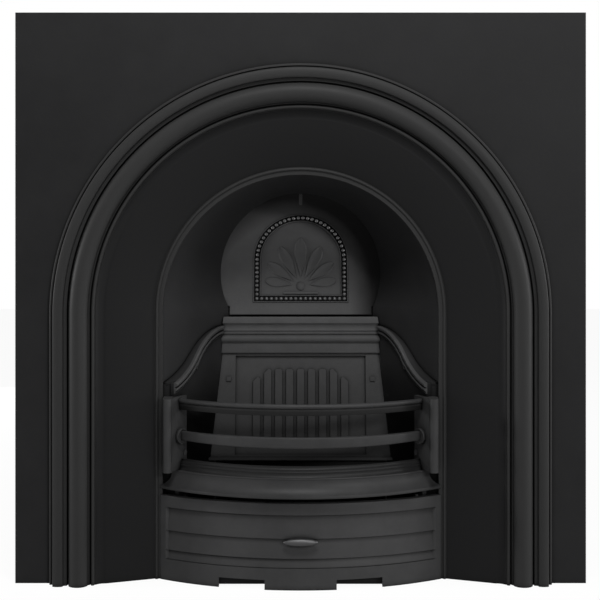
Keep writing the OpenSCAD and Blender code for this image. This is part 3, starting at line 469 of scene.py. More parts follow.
class Bench:
    """The node tree of one material."""

    def __init__(self, material: bpy.types.Material) -> None:
        """Empties the material's tree and keeps it.

        Args:
            material: the material, or the world.
        """
        material.use_nodes = True
        self.tree = material.node_tree
        self.tree.nodes.clear()

    def node(self, kind: str, settings: dict, sockets: dict) -> bpy.types.Node:
        """Creates a node.

        Args:
            kind: the node's type.
            settings: its own settings, set first; stops are a ramp's (position, colour) pairs.
            sockets: values, terms or links for its sockets, by name or number.

        Returns:
            The node.
        """
        made = self.tree.nodes.new(kind)
        for name, value in settings.items():
            if name == "stops":
                ramp = made.color_ramp
                for stop, (position, colour) in zip(ramp.elements, value):
                    stop.position, stop.color = position, colour
            else:
                setattr(made, name, value)
        for name, value in sockets.items():
            socket = made.inputs[name]
            if isinstance(value, Term):
                self.tree.links.new(value.socket, socket)
            elif isinstance(value, Socket):
                self.tree.links.new(value, socket)
            else:
                socket.default_value = value
        return made

    def grain(self, where: Socket, scale: float, detail: float,
              rough: float = 0.5) -> Term:
        """A soft random pattern.

        Args:
            where: the coordinates.
            scale: how many cells go into a metre.
            detail: how many finer layers it has.
            rough: how strong they are.

        Returns:
            Its value, from 0 to 1.
        """
        made = self.node("ShaderNodeTexNoise", {}, {
            "Vector": where, "Scale": scale, "Detail": detail, "Roughness": rough})
        return Term(self, made.outputs[0])

    def ramp(self, value: Term, low: float, high: float) -> Term:
        """A value stretched so that low becomes 0 and high becomes 1.

        Args:
            value: the value.
            low, high: what becomes 0 and what becomes 1.

        Returns:
            The stretched value, kept from 0 to 1.
        """
        made = self.node("ShaderNodeMapRange", {"clamp": True}, {
            "Value": value, "From Min": low, "From Max": high})
        return Term(self, made.outputs[0])

    def open_share(self, reach: float) -> Term:
        """How open the surface lies: 0 deep in a corner, 1 on a flat face.

        Args:
            reach: how far a neighbouring surface still counts, in metres.

        Returns:
            The share.
        """
        made = self.node("ShaderNodeAmbientOcclusion", {"samples": 6}, {"Distance": reach})
        shut, free = 0.3, 0.92
        return self.ramp(Term(self, made.outputs[1]), shut, free)

    def mix(self, share: Term, a: Tint, b: Tint) -> Socket:
        """A colour between a and b, each of them fixed or worked out by nodes.

        Args:
            share: how much of b there is, from 0 to 1.
            a, b: the colours.

        Returns:
            The mixed colour.
        """
        ends = [(*tint, 1) if isinstance(tint, tuple) else tint for tint in (a, b)]
        made = self.node("ShaderNodeMix", {"data_type": "RGBA"}, {0: share, 6: ends[0], 7: ends[1]})
        return made.outputs[2]

    def where(self) -> Socket:
        """The coordinates of the object's own space."""
        return self.node("ShaderNodeTexCoord", {}, {}).outputs["Object"]

    def skin(self, colour: Tint, rough: Term, height: Term, gloss: float = 0.5,
             metal: float = 0.0) -> None:
        """Makes the surface and leads it to the tree's output.

        Args:
            colour, rough: its colour and roughness.
            height: the fine relief on it, in units of BUMP_M.
            gloss: its specular level.
            metal: 1 for bare metal.
        """
        relief = self.node("ShaderNodeBump", {}, {
            "Strength": 1.0, "Distance": BUMP_M, "Height": height})
        made = self.node("ShaderNodeBsdfPrincipled", {}, {
            "Base Color": colour, "Metallic": metal, "Specular IOR Level": gloss,
            "Roughness": rough, "Normal": relief.outputs[0]})
        self.node("ShaderNodeOutputMaterial", {}, {"Surface": made.outputs[0]})

    def arch_reach(self, where: Socket, x: float, z: float) -> Term:
        """The distance from an arch's centre or, below it, from the upright line through it.

        Args:
            where: the coordinates.
            x, z: the arch's centre, in metres.

        Returns:
            The distance, in metres.
        """
        axes = self.node("ShaderNodeSeparateXYZ", {}, {0: where}).outputs
        across, rise = Term(self, axes[0]) - x, Term(self, axes[2]) - z
        rise = rise.maths("MAXIMUM", rise, 0)
        return (across * across + rise * rise) ** 0.5


class Finish:
    """A surface that several pieces share; its material is made once."""

    made: dict[str, bpy.types.Material] = {}

    def material(self) -> bpy.types.Material:
        """The finish's material.

        Returns:
            The material.
        """
        if self.name not in Finish.made:
            material = bpy.data.materials.new(self.name)
            self.dress(Bench(material))
            Finish.made[self.name] = material
        return Finish.made[self.name]

    def dress(self, bench: Bench) -> None:
        """Fills the material's node tree."""
        raise NotImplementedError


@dataclass(frozen=True)
class BlackIron(Finish):
    """Cast iron, blackened: fine sand-cast grain, soft clouds of gloss and colour, and painted
    shade in its corners.

    Grain and pits are heights in metres, and corner is how near, in metres, a neighbouring surface
    still darkens this one with painted shade.
    """

    name: str
    colour: Colour
    lighter: Colour
    rough: float = 0.5
    gloss: float = 0.3
    grain: float = 0.00006
    pits: float = 0.00003
    corner: float = 0.009

    def tone(self, bench: Bench, where: Socket, wear: Term) -> Socket:
        """The colour, between the iron's two tones."""
        return bench.mix(wear, self.colour, self.lighter)

    def dress(self, bench: Bench) -> None:
        """Fills the material's node tree.

        Args:
            bench: the material's tree.
        """
        where = bench.where()
        clouds = bench.ramp(bench.grain(where, *CLOUDS), 0.3, 0.72)
        patches = bench.ramp(bench.grain(where, *PATCHES), 0.3, 0.75)
        sand = bench.grain(where, *SAND)
        hollows = bench.ramp(bench.grain(where, *HOLLOWS), 0.34, 0.5)
        wear = clouds * 0.55 + patches * 0.3 + sand * 0.25
        height = sand * (self.grain / BUMP_M) + hollows * (self.pits / BUMP_M)
        rough = clouds * 0.06 + patches * 0.07 + sand * 0.05 + (self.rough - 0.09)
        bare = self.tone(bench, where, wear)
        # Painted shade: where ambient occlusion finds a neighbouring surface near, the colour
        # darkens towards the corner shade colour.
        colour = bench.mix(bench.open_share(self.corner), CORNER_SHADE, bare)
        bench.skin(colour, rough, height, self.gloss)


@dataclass(frozen=True)
class RubbedIron(BlackIron):
    """Blackened iron with its arched mouldings rubbed bright and painted shade on the splay between
    them.

    The rings are the inner and outer radius of each moulding, in metres.
    """

    rubbed: Colour = (0.02, 0.02, 0.02)
    # splay: painted shade, the darker tone of the splay that stands for the mouldings' shadow and
    # its downward tilt.
    splay: Colour = (0.0072, 0.0072, 0.0074)
    arch_z: float = 0.455
    rings: tuple[Point2, Point2] = ((0.2, 0.2495), (0.3455, 0.4245))
    fade: float = 0.001

    def tone(self, bench: Bench, where: Socket, wear: Term) -> Socket:
        """The colour, lighter within the rings round the arch and its legs, and darker with painted
        shade on the splay.

        Args:
            bench: the material's tree.
            where: the coordinates.
            wear: how worn the iron is.

        Returns:
            The colour.
        """
        reach = bench.arch_reach(where, 0, self.arch_z)
        share = sum(bench.ramp(reach, low - self.fade, low)
                    - bench.ramp(reach, high, high + self.fade) for low, high in self.rings)
        outer = self.rings[1][0]
        beyond = bench.ramp(reach, outer - self.fade, outer)
        # Painted shade: inside the outer moulding the splay takes the darker splay colour.
        face = bench.mix(beyond, self.splay, super().tone(bench, where, wear))
        return bench.mix(share, face, self.rubbed)


@dataclass(frozen=True)
class FootShadeIron(BlackIron):
    """Iron darkened with painted shade from the foot up to low_z, fading out by high_z; the height
    wanders by drift.
    """

    shade_tone: Colour = PAINTED_SHADE_TONE
    low_z: float = 0.16
    high_z: float = 0.47
    drift: float = 0.06

    def tone(self, bench: Bench, where: Socket, wear: Term) -> Socket:
        """The colour, darkened with painted shade towards the foot.

        Args:
            bench: the material's tree.
            where: the coordinates.
            wear: how worn the iron is.

        Returns:
            The colour.
        """
        height = Term(bench, bench.node("ShaderNodeSeparateXYZ", {}, {0: where}).outputs[2])
        height = height + bench.grain(where, 9, 3) * self.drift
        unshaded = bench.ramp(height, self.low_z, self.high_z)
        # Painted shade: below low_z the colour is the shade tone.
        return bench.mix(unshaded, self.shade_tone, super().tone(bench, where, wear))


@dataclass(frozen=True)
class ShadowCrescentIron(BlackIron):
    """Iron of the damper, with a painted shadow along the edge that lies under the hood.

    The painted shadow begins at one radius from the middle and is full at a larger one; its edge
    wanders by drift.
    """

    shade_tone: Colour = PAINTED_SHADE_TONE
    middle_x: float = -0.03
    middle_z: float = 0.487
    shade_start_r: float = 0.13
    shade_r: float = 0.175
    drift: float = 0.02

    def tone(self, bench: Bench, where: Socket, wear: Term) -> Socket:
        """The colour, with a painted shadow darkening it towards the round edge.

        Args:
            bench: the material's tree.
            where: the coordinates.
            wear: how worn the iron is.

        Returns:
            The colour.
        """
        reach = bench.arch_reach(where, self.middle_x, self.middle_z)
        reach = reach + bench.grain(where, 14, 3) * self.drift
        shaded = bench.ramp(reach, self.shade_start_r, self.shade_r)
        # Painted shadow: the damper's top and right edge, where the hood's rim shades it.
        return bench.mix(shaded, super().tone(bench, where, wear), self.shade_tone)


@dataclass(frozen=True)
class WorkedSteel(Finish):
    """Turned or rolled steel; stretch is how many fine marks go into a metre each way."""

    name: str
    colour: Colour
    darker: Colour
    rough: float = 0.36
    stretch: Point3 = (30, 900, 900)
    marks: float = 0.00002

    def dress(self, bench: Bench) -> None:
        """Fills the material's node tree.

        Args:
            bench: the material's tree.
        """
        where = bench.where()
        drawn = bench.node("ShaderNodeMapping", {}, {"Vector": where, "Scale": self.stretch})
        lines = bench.grain(drawn.outputs[0], 1, 4, 0.6)
        stains = bench.ramp(bench.grain(where, 60, 4, 0.6), 0.35, 0.7)
        bench.skin(bench.mix(lines * 0.5 + stains * 0.5, self.darker, self.colour),
                   lines * 0.12 + stains * 0.1 + (self.rough - 0.1),
                   lines * (self.marks / BUMP_M), metal=1.0)


PLATE = RubbedIron("blackened plate", (0.009, 0.009, 0.0093), (0.013, 0.013, 0.0133), 0.5, 0.06)
HOOD = BlackIron("hood iron", (0.015, 0.015, 0.0154), (0.022, 0.022, 0.0224),
                 0.55, 0.03, 0.00009, 0.00006)
# The cheeks darken towards their feet with painted shade, deep in the firebox behind the bars.
CHEEK = FootShadeIron("cheek iron", (0.015, 0.015, 0.0154), (0.022, 0.022, 0.0224),
                   0.55, 0.03, 0.00009, 0.00006, shade_tone=(0.001, 0.001, 0.001), low_z=0.3, high_z=0.39)
RAIL = BlackIron("rubbed rail iron", (0.03, 0.03, 0.0304), (0.048, 0.048, 0.0485), 0.46, 0.12)
# The fireback darkens towards its foot with painted shade, behind the bars.
HEARTH = FootShadeIron("fireback iron", (0.04, 0.04, 0.0405), (0.066, 0.066, 0.0667),
                    0.55, 0.04, 0.00009, 0.00007)
# The bars, jambs and skirt take a darker copy of the cover's iron: painted shade.
BARS = BlackIron("fire front iron", (0.0175, 0.0175, 0.0178), (0.03, 0.03, 0.0304), 0.46, 0.1)
# The top bar's face below its roll is darkened: painted shadow of the roll.
ROLL = FootShadeIron("top bar iron", (0.017, 0.017, 0.0174), (0.03, 0.03, 0.0304), 0.44, 0.12,
                  low_z=0.297, high_z=0.303, drift=0.001)
# A darker copy of the fire front iron: painted shade on the skirt's step.
STEP = BlackIron("skirt step iron", (0.008, 0.008, 0.0082), (0.014, 0.014, 0.0142), 0.46, 0.1)
COVER = BlackIron("cover iron", (0.0215, 0.0215, 0.0219), (0.035, 0.035, 0.0355), 0.46, 0.1)
# The damper's iron carries a painted shadow along its top and right edge.
DAMPER = ShadowCrescentIron("damper iron", (0.046, 0.046, 0.0466), (0.066, 0.066, 0.0667),
                      0.52, 0.03, 0.00007, 0.00005)
BEADS = BlackIron("rubbed bead iron", (0.04, 0.04, 0.0405), (0.07, 0.07, 0.0705),
                  0.32, 0.6, 0.00003, 0.00002, 0.004)
PAN = BlackIron("painted sheet steel", (0.005, 0.005, 0.0052), (0.009, 0.009, 0.0092),
                0.42, 0.08, 0.00002, 0.00002)
# Near-black iron: painted shade on the damper's hem and on the strip under its beads; the grate
# deep in the firebox takes it too.
DARK_SHADE = BlackIron("sooted iron", (0.004, 0.004, 0.0041), (0.008, 0.008, 0.0081),
                 0.7, 0.03, 0.00012, 0.0001)
KNOB = WorkedSteel("brushed knob steel", (0.068, 0.068, 0.069), (0.044, 0.044, 0.045), 0.46)
FIXINGS = WorkedSteel("dull bolt steel", (0.1, 0.1, 0.102), (0.05, 0.05, 0.051), 0.5,
                      (300, 300, 300), 0.00005)


# ---- the castings --------------------------------------------------------------------------


@dataclass
class FacePlate:
    """The face plate with its arch moulding."""

    width: float = 965
    height: float = 965
    thick: float = 7
    arch_z: float = 455
    opening_r: float = 236
    rim_r: float = 243.5
    splay_in_r: float = 249
    splay_out_r: float = 329
    bead_in_r: float = 347
    bead_out_r: float = 354
    torus_in_r: float = 357
    torus_out_r: float = 388
    band_in_r: float = 398
    arch_r: float = 424
    band_proud: float = 22
    groove_proud: float = 16
    torus_proud: float = 29
    bead_proud: float = 15
    rebate_y: float = 27
    rim_back_y: float = 36
    flange_w: float = 26
    rib_h: float = 8
    rib_w: float = 9
    boss_r: Point2 = (9, 8)
    bracket_x: float = 454.5
    bracket_z: Point2 = (200, 800)
    lap: float = 0.5
    hidden: float = 5

    def section(self) -> list[Point2]:
        """The arch moulding's section: distance from the arch's centre, height before the plate.

        Returns:
            The corners of the closed section.
        """
        arch, band, torus, bead = self.arch_r, self.band_in_r, self.torus_out_r, self.bead_out_r
        proud, groove, low = self.band_proud, self.groove_proud, self.bead_proud
        ring, rim = self.opening_r + self.flange_w, -self.rebate_y
        slope = (self.rebate_y + 2) / (self.splay_out_r - self.splay_in_r)
        front = beside((arch, 0), (0, -1), (0, 1.2), (-0.6, 8), (-2, 9.6), (-4.6, 10), (-6, 8.4),
                       (-7.2, 8.2))
        front += beside((arch, proud), (-7.8, -2.4), (-8.4, -0.9))
        front += swell((arch - 9.6, proud), (band + 2, proud - 0.3), -1.4, 10)
        front += [(band + 0.8, proud - 1.3), *beside((band, groove), (0.2, 0.8), (-0.8, 0))]
        front += beside((torus, groove), (4.6, -0.4), (3.8, -6), (2.4, -6))
        front += swell((torus + 1.4, groove + 2), (self.torus_in_r + 1, groove + 1),
                       groove + 2.2 - self.torus_proud, 24)
        front += [(self.torus_in_r + 0.2, low - 3),
                  *beside((bead, low), (0.9, -3.6), (0.2, -7), (-1, -7))]
        front += swell((bead - 1.4, low - 2.6), (self.bead_in_r, low - 2.8), -2.4, 8)
        front += beside((self.bead_in_r, low), (-0.3, -5.4), (-1, -5.8))
        front += swell((self.bead_in_r - 1.8, low - 5.2), (self.splay_out_r, 2), 2.4, 12)
        front += [(self.splay_in_r + 0.3, 2.1 - slope * (self.splay_out_r - self.splay_in_r))]
        front += swell((self.splay_in_r, rim + 0.5), (self.rim_r, rim + 0.5), -2.5, 10)
        back = [(self.rim_r, rim), (self.opening_r + 0.6, rim), (self.opening_r, rim - 0.6),
                (self.opening_r, -self.rim_back_y), (ring, -self.rim_back_y),
                (ring, -slope * (self.splay_out_r - ring) - self.thick),
                (self.splay_out_r + 6, -self.thick), (self.bead_in_r + 3, low - self.thick),
                (band + 16, low - self.thick), (band + 18, -self.thick), (arch, -self.thick)]
        return front + back

    def on_arch(self, station: Station, radius: float, proud: float) -> Point3:
        """A point of the moulding at a station of the arch's path.

        Args:
            station: the station.
            radius: the distance from the arch's centre line.
            proud: the height in front of the plate.

        Returns:
            The point.
        """
        part, value = station
        if part is Part.HEAD:
            return radius * cos_deg(value), -proud, self.arch_z + radius * sin_deg(value)
        return (radius if part is Part.RIGHT else -radius), -proud, value

    def on_edge(self, station: Station) -> Point2:
        """The point of the plate's outer edge that lies beyond a station of the arch's path.

        Args:
            station: the station.

        Returns:
            Its X and Z.
        """
        part, value = station
        half = self.width / 2
        if part is not Part.HEAD:
            return (half if part is Part.RIGHT else -half), value
        across, up = cos_deg(value), sin_deg(value)
        reach = min(half / max(abs(across), TINY), (self.height - self.arch_z) / max(up, TINY))
        return reach * across, self.arch_z + reach * up

    def build(self) -> None:
        """Makes the moulding and the plate as one casting."""
        piece = Casting("face_plate")
        legs, turns = spread(0, self.arch_z, 9)[:-1], spread(0, 180, 121)
        corner = math.degrees(math.atan2(self.height - self.arch_z, self.width / 2))
        right = [(Part.RIGHT, z) for z in legs]
        left = [(Part.LEFT, z) for z in reversed(legs)]
        section = self.section()
        piece.tube([[self.on_arch(s, r, p) for r, p in section]
                    for s in right + [(Part.HEAD, a) for a in turns] + left])
        loops = []
        for s in right + [(Part.HEAD, a) for a in sorted({*turns, corner, 180 - corner})] + left:
            ex, ez = self.on_edge(s)
            ix, _, iz = self.on_arch(s, self.arch_r - self.hidden, 0)
            loops.append([(ix, 0, iz), (ex, 0, ez), (ex, self.thick, ez), (ix, self.thick, iz)])
        piece.tube(loops)
        edge, back = self.width / 2, self.thick + self.rib_h
        inner = edge - self.rib_w
        for x0, x1, z in ((inner, edge, 0), (-edge, -inner, 0),
                          (-inner, inner, self.height - self.rib_w)):
            piece.block((x0, self.thick - self.lap, z), (x1, back, self.height))
        for x in (-self.bracket_x, self.bracket_x):
            for z in self.bracket_z:
                piece.lathe([(-self.lap, self.boss_r[0]), (self.rib_h, self.boss_r[1])],
                            (x, self.thick, z), Axis.BACK)
        piece.finish(["front_plate"], "surround", "blackened_iron", PLATE, 0.6)


@dataclass
class Hood:
    """The hood: front flange, funnel and flat ring round the flue opening."""

    plate: FacePlate
    cheek: "Cheek"
    thick: float = 6
    throat_y: float = 180
    throat_r: float = 146
    throat_z: float = 515
    foot_x: float = 131
    foot_z: float = 437
    foot_flare: float = 2
    foot_drop: float = 5
    low_angle: float = -25
    ring_w: float = 30
    gap: float = 0.8
    arc_steps: int = 96
    depth_steps: int = 10

    def edge(self, i: int, foot_x: float, middle_z: float, radius: float, low: float) -> Vector:
        """A point of one of the funnel's edges.

        Args:
            i: the station: 0 and 1 on the upright foot, then round to the crown.
            foot_x: the foot's distance from the middle.
            middle_z, radius: the height of the arc's centre, and its radius.
            low: the angle at which the arc starts.

        Returns:
            The distance from the middle, and the height.
        """
        if i < 2:
            return Vector((foot_x, self.foot_z if i else self.cheek.low_z - self.foot_drop))
        a = low + (90 - low) * (i - 2) / self.arc_steps
        return Vector((radius * cos_deg(a), middle_z + radius * sin_deg(a)))

    def wall(self, i: int, share: float, grow: float, y0: float, y1: float) -> Point3:
        """A point of the hood; its foot sits on the cheek's moulding.

        Args:
            i: the station.
            share: how far back, from 0 at the rim to 1 at the flue opening.
            grow: the distance outside the inner face.
            y0, y1: where the face starts and ends.

        Returns:
            The point.
        """
        rim, cheek = self.plate.opening_r + grow, self.cheek
        foot = self.foot_x + grow + (0 if i else self.foot_flare)
        front = self.edge(i, rim, self.plate.arch_z, rim, 0)
        rear = self.edge(i, foot, self.throat_z, self.throat_r + grow, self.low_angle)
        p, y = front * (1 - share) + rear * share, y0 * (1 - share) + y1 * share
        if i:
            return p.x, y, p.y
        s = (y - cheek.rim_back_y) * cos_deg(cheek.splay) - (p.x - cheek.x) * sin_deg(cheek.splay)
        return p.x, y, self.gap + cheek.curve(s)

    def section(self, i: int) -> list[Point3]:
        """The closed section at a station: inner face, ring, outer face, flange.

        Args:
            i: the station.

        Returns:
            The corners.
        """
        rim, n, flange = self.plate.rim_back_y, self.depth_steps, self.plate.flange_w
        inner, outer = (rim, self.throat_y + self.thick), (rim + self.thick, self.throat_y)
        loop = [self.wall(i, k / n, 0, *inner) for k in range(n + 1)]
        loop += [self.wall(i, 1, self.ring_w, *face) for face in (inner, outer)]
        loop += [self.wall(i, k / n, self.thick + 1, *outer) for k in range(n, -1, -1)]
        return loop + [self.wall(i, 0, flange, *face) for face in (outer, inner)]

    def build(self) -> None:
        """Makes the hood."""
        piece = Casting("hood")
        half = [self.section(i) for i in range(self.arc_steps + 3)]
        piece.tube(half + [[(-x, y, z) for x, y, z in loop] for loop in reversed(half[:-1])])
        piece.finish(["canopy"], "surround", "blackened_iron", HOOD)


@dataclass
class Cheek:
    """A side of the firebox, with the hob moulding along its top."""

    x: float = 212
    splay: float = 27.9
    thick: float = 8
    rim_back_y: float = 36
    hob_z: float = 421
    upper_r: float = 130
    lower_r: float = 148
    slope: float = 48
    mid_s: float = 60
    front_s: float = -9
    rear_y: float = 186
    moulding_end_y: float = 165
    ledge_w: float = 30
    ledge_t: float = 6
    grate_ledge: Corners = ((26, -1, 146), (100, 14, 157.7))
    flange_x: Point2 = (2, 262)
    flange_t: float = 6
    flange_rise: float = 2.4
    lug: Corners = ((-8, 13.3, 133), (11, 19.3, 157))
    steps: int = 72

    @property
    def mid_z(self) -> float:
        """The height at which the moulding's two curves meet."""
        return self.hob_z - self.upper_r * (1 - cos_deg(self.slope))

    @property
    def low_z(self) -> float:
        """The lowest point of the moulding's lower curve."""
        return self.mid_z - self.lower_r * (1 - cos_deg(self.slope))

    def along(self, y: float) -> float:
        """How far back along the cheek a place lies, from how far back it is."""
        return (y - self.rim_back_y) / cos_deg(self.splay)

    def face_x(self, y: float) -> float:
        """How far the cheek's face is from the middle, from how far back it is."""
        return self.x - (y - self.rim_back_y) * tan_deg(self.splay)

    def curve(self, s: float, drop: float = 0) -> float:
        """The height of the hob moulding.

        Args:
            s: the distance back along the cheek.
            drop: how far below the top line, measured square to it.

        Returns:
            The height above the hearth.
        """
        turn, upper = sin_deg(self.slope), self.upper_r
        top_s, low_s = self.mid_s + upper * turn, self.mid_s - self.lower_r * turn
        if s >= top_s:
            return self.hob_z - drop
        if s >= self.mid_s:
            return self.hob_z - upper + math.sqrt((upper - drop) ** 2 - (top_s - s) ** 2)
        lower = math.sqrt((self.lower_r + drop) ** 2 - (s - low_s) ** 2)
        return self.low_z + self.lower_r - lower

    def frame(self) -> Matrix:
        """The right cheek's own plane: X runs back along it, +Y points into the firebox."""
        turn = Matrix.Rotation(math.radians(90 + self.splay), 4, "Z")
        return Matrix.Translation((self.x, self.rim_back_y, 0)) @ turn

    def mouldings(self) -> list[Point2]:
        """The hob moulding's section: drop below the top line, height above the cheek's face.

        Returns:
            The corners of the open section.
        """
        first = [(0, -1)] + arc(2.6, 2.9, 2.6, 180, 90, 6) + arc(4.3, 3.2, 2.3, 90, -10, 6)
        groove = [(6.8, 1.2), (7.3, 0.7), (8.3, 0.7), (8.9, 1.4)]
        last = [(14.7, 0.9), (15.4, 0.6), (15.9, 1.9), (16.6, 2.4), (17.5, 1.9), (18, 0), (18, -1)]
        return first + groove + swell((9.1, 2.4), (14.4, 2.2), 2.2, 9) + last

    def build(self, left: bool) -> None:
        """Makes one cheek.

        Args:
            left: whether it is the left one.
        """
        side = "left" if left else "right"
        piece = Casting(f"cheek_{side}_iron", self.frame(), left)
        rear, last = self.along(self.rear_y), self.along(self.moulding_end_y)
        line = spread(self.front_s, rear, self.steps)
        top = [(s, self.curve(s, 1)) for s in reversed(line)]
        piece.slab([(self.front_s, 0), (rear, 0), *top], -self.thick, 0)
        rail = Casting(f"hob_rail_{side}", self.frame(), left)
        rail.tube([[(s, rise, self.curve(s, drop)) for drop, rise in self.mouldings()]
                   for s in spread(self.front_s, last, self.steps)])
        rail.finish([], "surround", "blackened_iron", RAIL, 0)
        steep, loops = 1 / tan_deg(self.splay), []
        for s in line:
            near, high, low = min(-0.5, s * steep), self.curve(s), self.curve(s, self.ledge_t)
            loops.append([(s, near, high), (s, -self.ledge_w, high), (s, -self.ledge_w, low),
                          (s, near, low)])
        piece.tube(loops)
        piece.block(*self.grate_ledge)
        piece.place = Matrix.Identity(4)
        piece.block((self.x + self.flange_x[0], self.rim_back_y, 0),
                    (self.flange_x[1], self.rim_back_y + self.flange_t,
                     self.low_z + self.flange_rise))
        back = Fireback()
        piece.place = back.frame()
        piece.block(*[(back.bolt_x + x, y, z) for x, y, z in self.lug])
        piece.finish([f"cheek_{side}"], "surround", "blackened_iron", CHEEK, 0.7)


@dataclass
class Fireback:
    """The ribbed back of the firebox with its moulded cornice and the apron below it."""

    y: float = 129
    foot_z: float = 183
    top_z: float = 435
    lean: float = 11.4
    thick: float = 8
    recess: float = 5
    recess_w: float = 236
    cornice_h: float = 67
    rib_count: int = 9
    rib_pitch: float = 19.9
    rib_w: float = 12.6
    rib_h: float = 126
    rib_foot: float = 37
    end_rib_drop: float = 15
    rib_ease: float = 2.5
    panel_foot: float = 10
    gap: float = 0.8
    lap: float = 0.5
    head_h: float = 30
    relief_y: float = 177
    relief_x: float = 127
    foot_lip: float = 5
    bolt_z: float = 145
    bolt_in: float = 10
    apron_gap: float = 4
    apron_lap: float = 6

    @property
    def length(self) -> float:
        """The height of the casting along its own face."""
        return (self.top_z - self.foot_z) / cos_deg(self.lean)

    @property
    def bolt_x(self) -> float:
        """The distance of its bolts from the middle."""
        return self.half(self.bolt_z, self.recess + self.thick) - self.bolt_in

    def half(self, up: float, depth: float) -> float:
        """Half its width between the cheeks, at a height up its face and a depth behind it.

        Args:
            up: the height up its face.
            depth: the depth behind it.

        Returns:
            The half width.
        """
        y = self.y + up * sin_deg(self.lean) + depth * cos_deg(self.lean)
        between = Cheek().face_x(y) - self.gap
        return between if y < self.relief_y else min(between, self.relief_x)

    def plank(self, piece: Casting, depth: Point2, ups: Point2, sides: Point2) -> None:
        """Adds a board whose sides lie against the cheeks or on an upright line.

        Args:
            piece: the casting.
            depth: its front and back.
            ups: its foot and top.
            sides: how far its sides lie from the middle, or infinity for the cheeks.
        """
        left, right = sides
        loops = []
        for d in depth:
            foot, top = (self.half(up, d) for up in ups)
            loops.append([(max(left, -foot), d, ups[0]), (min(right, foot), d, ups[0]),
                          (min(right, top), d, ups[1]), (max(left, -top), d, ups[1])])
        piece.tube(loops)

    def frame(self) -> Matrix:
        """Its own frame: Z runs up its face, +Y points out of its back."""
        return leaning(self.y, self.foot_z, self.lean)

    def cornice(self) -> list[Point2]:
        """The cornice's section: height in front of the face, distance up the cornice.

        Returns:
            The corners.
        """
        h = self.cornice_h
        line = eased([(2, 0), (4, 2), (4, h * 0.28)], 1.2)[1:]
        line += swell((5, h * 0.3), (5, h * 0.5), -4, 10)
        line += [(4, h * 0.52), (5.4, h * 0.54), (5.5, h * 0.6), (7, h * 0.62)]
        line += swell((7, h * 0.63), (9, h * 0.8), 1.8, 8)
        line += [(10.3, h * 0.815), (10.5, h * 0.83), (10.5, h * 0.96), (10, h * 0.99)]
        return [(-1, 0), *line, (9, h - 0.1), (-1, h - 0.1)]

    def build(self) -> None:
        """Makes the fireback."""
        piece = Casting("fireback_iron", self.frame())
        top, inner, wide = self.length, self.recess_w / 2, math.inf
        body, skin = (self.recess, self.recess + self.thick), self.recess + self.lap
        low = top - self.head_h
        base = top - self.cornice_h
        for depth, ups, sides in (
                (body, (0, low), (-wide, wide)),
                (body, (low - self.lap, top - 0.1), (-wide, wide)),
                ((0, skin), (0, low), (-wide, -inner)),
                ((0, skin), (0, low), (inner, wide)),
                ((0.02, skin), (0.1, self.panel_foot), (-inner - self.lap, inner + self.lap)),
                ((0.02, skin), (base - 3, top - 0.2), (-wide, wide)),
                ((-self.foot_lip, self.lap), (0, self.foot_lip), (-wide, wide))):
            self.plank(piece, depth, ups, sides)
        piece.tube([[(side * self.half(base + up, -proud), -proud, base + up)
                     for proud, up in self.cornice()] for side in (-1, 1)])
        for i in range(self.rib_count):
            piece.slab(self.rib(i), 0.6, self.recess + 0.3)
        piece.place = Matrix.Identity(4)
        apron = self.y + self.recess + self.apron_gap
        half = Cheek().face_x(apron + self.thick) - self.gap
        piece.block((-half, apron, 0), (half, apron + self.thick, self.foot_z + self.apron_lap))
        piece.finish(["fireback"], "surround", "fireback_iron", HEARTH, 0.9)

    def rib(self, i: int) -> list[Point2]:
        """The outline of one rib, with its slanting head.

        Args:
            i: the rib's number from the left.

        Returns:
            Its corners.
        """
        middle = (self.rib_count - 1) / 2
        off, w, ease = abs(i - middle), self.rib_w / 2, self.rib_ease
        top = self.rib_foot + self.rib_h - (self.end_rib_drop if off == middle else 0)
        cut = self.rib_w * 0.6 if off >= middle - 1 else ease
        flip = 1 if i < middle else -1
        corners = [(-w, self.rib_foot), (w, self.rib_foot), (w, top - ease), (w - ease, top),
                   (-w + cut, top), (-w, top - cut)]
        return [((i - middle) * self.rib_pitch + flip * x, z) for x, z in corners]


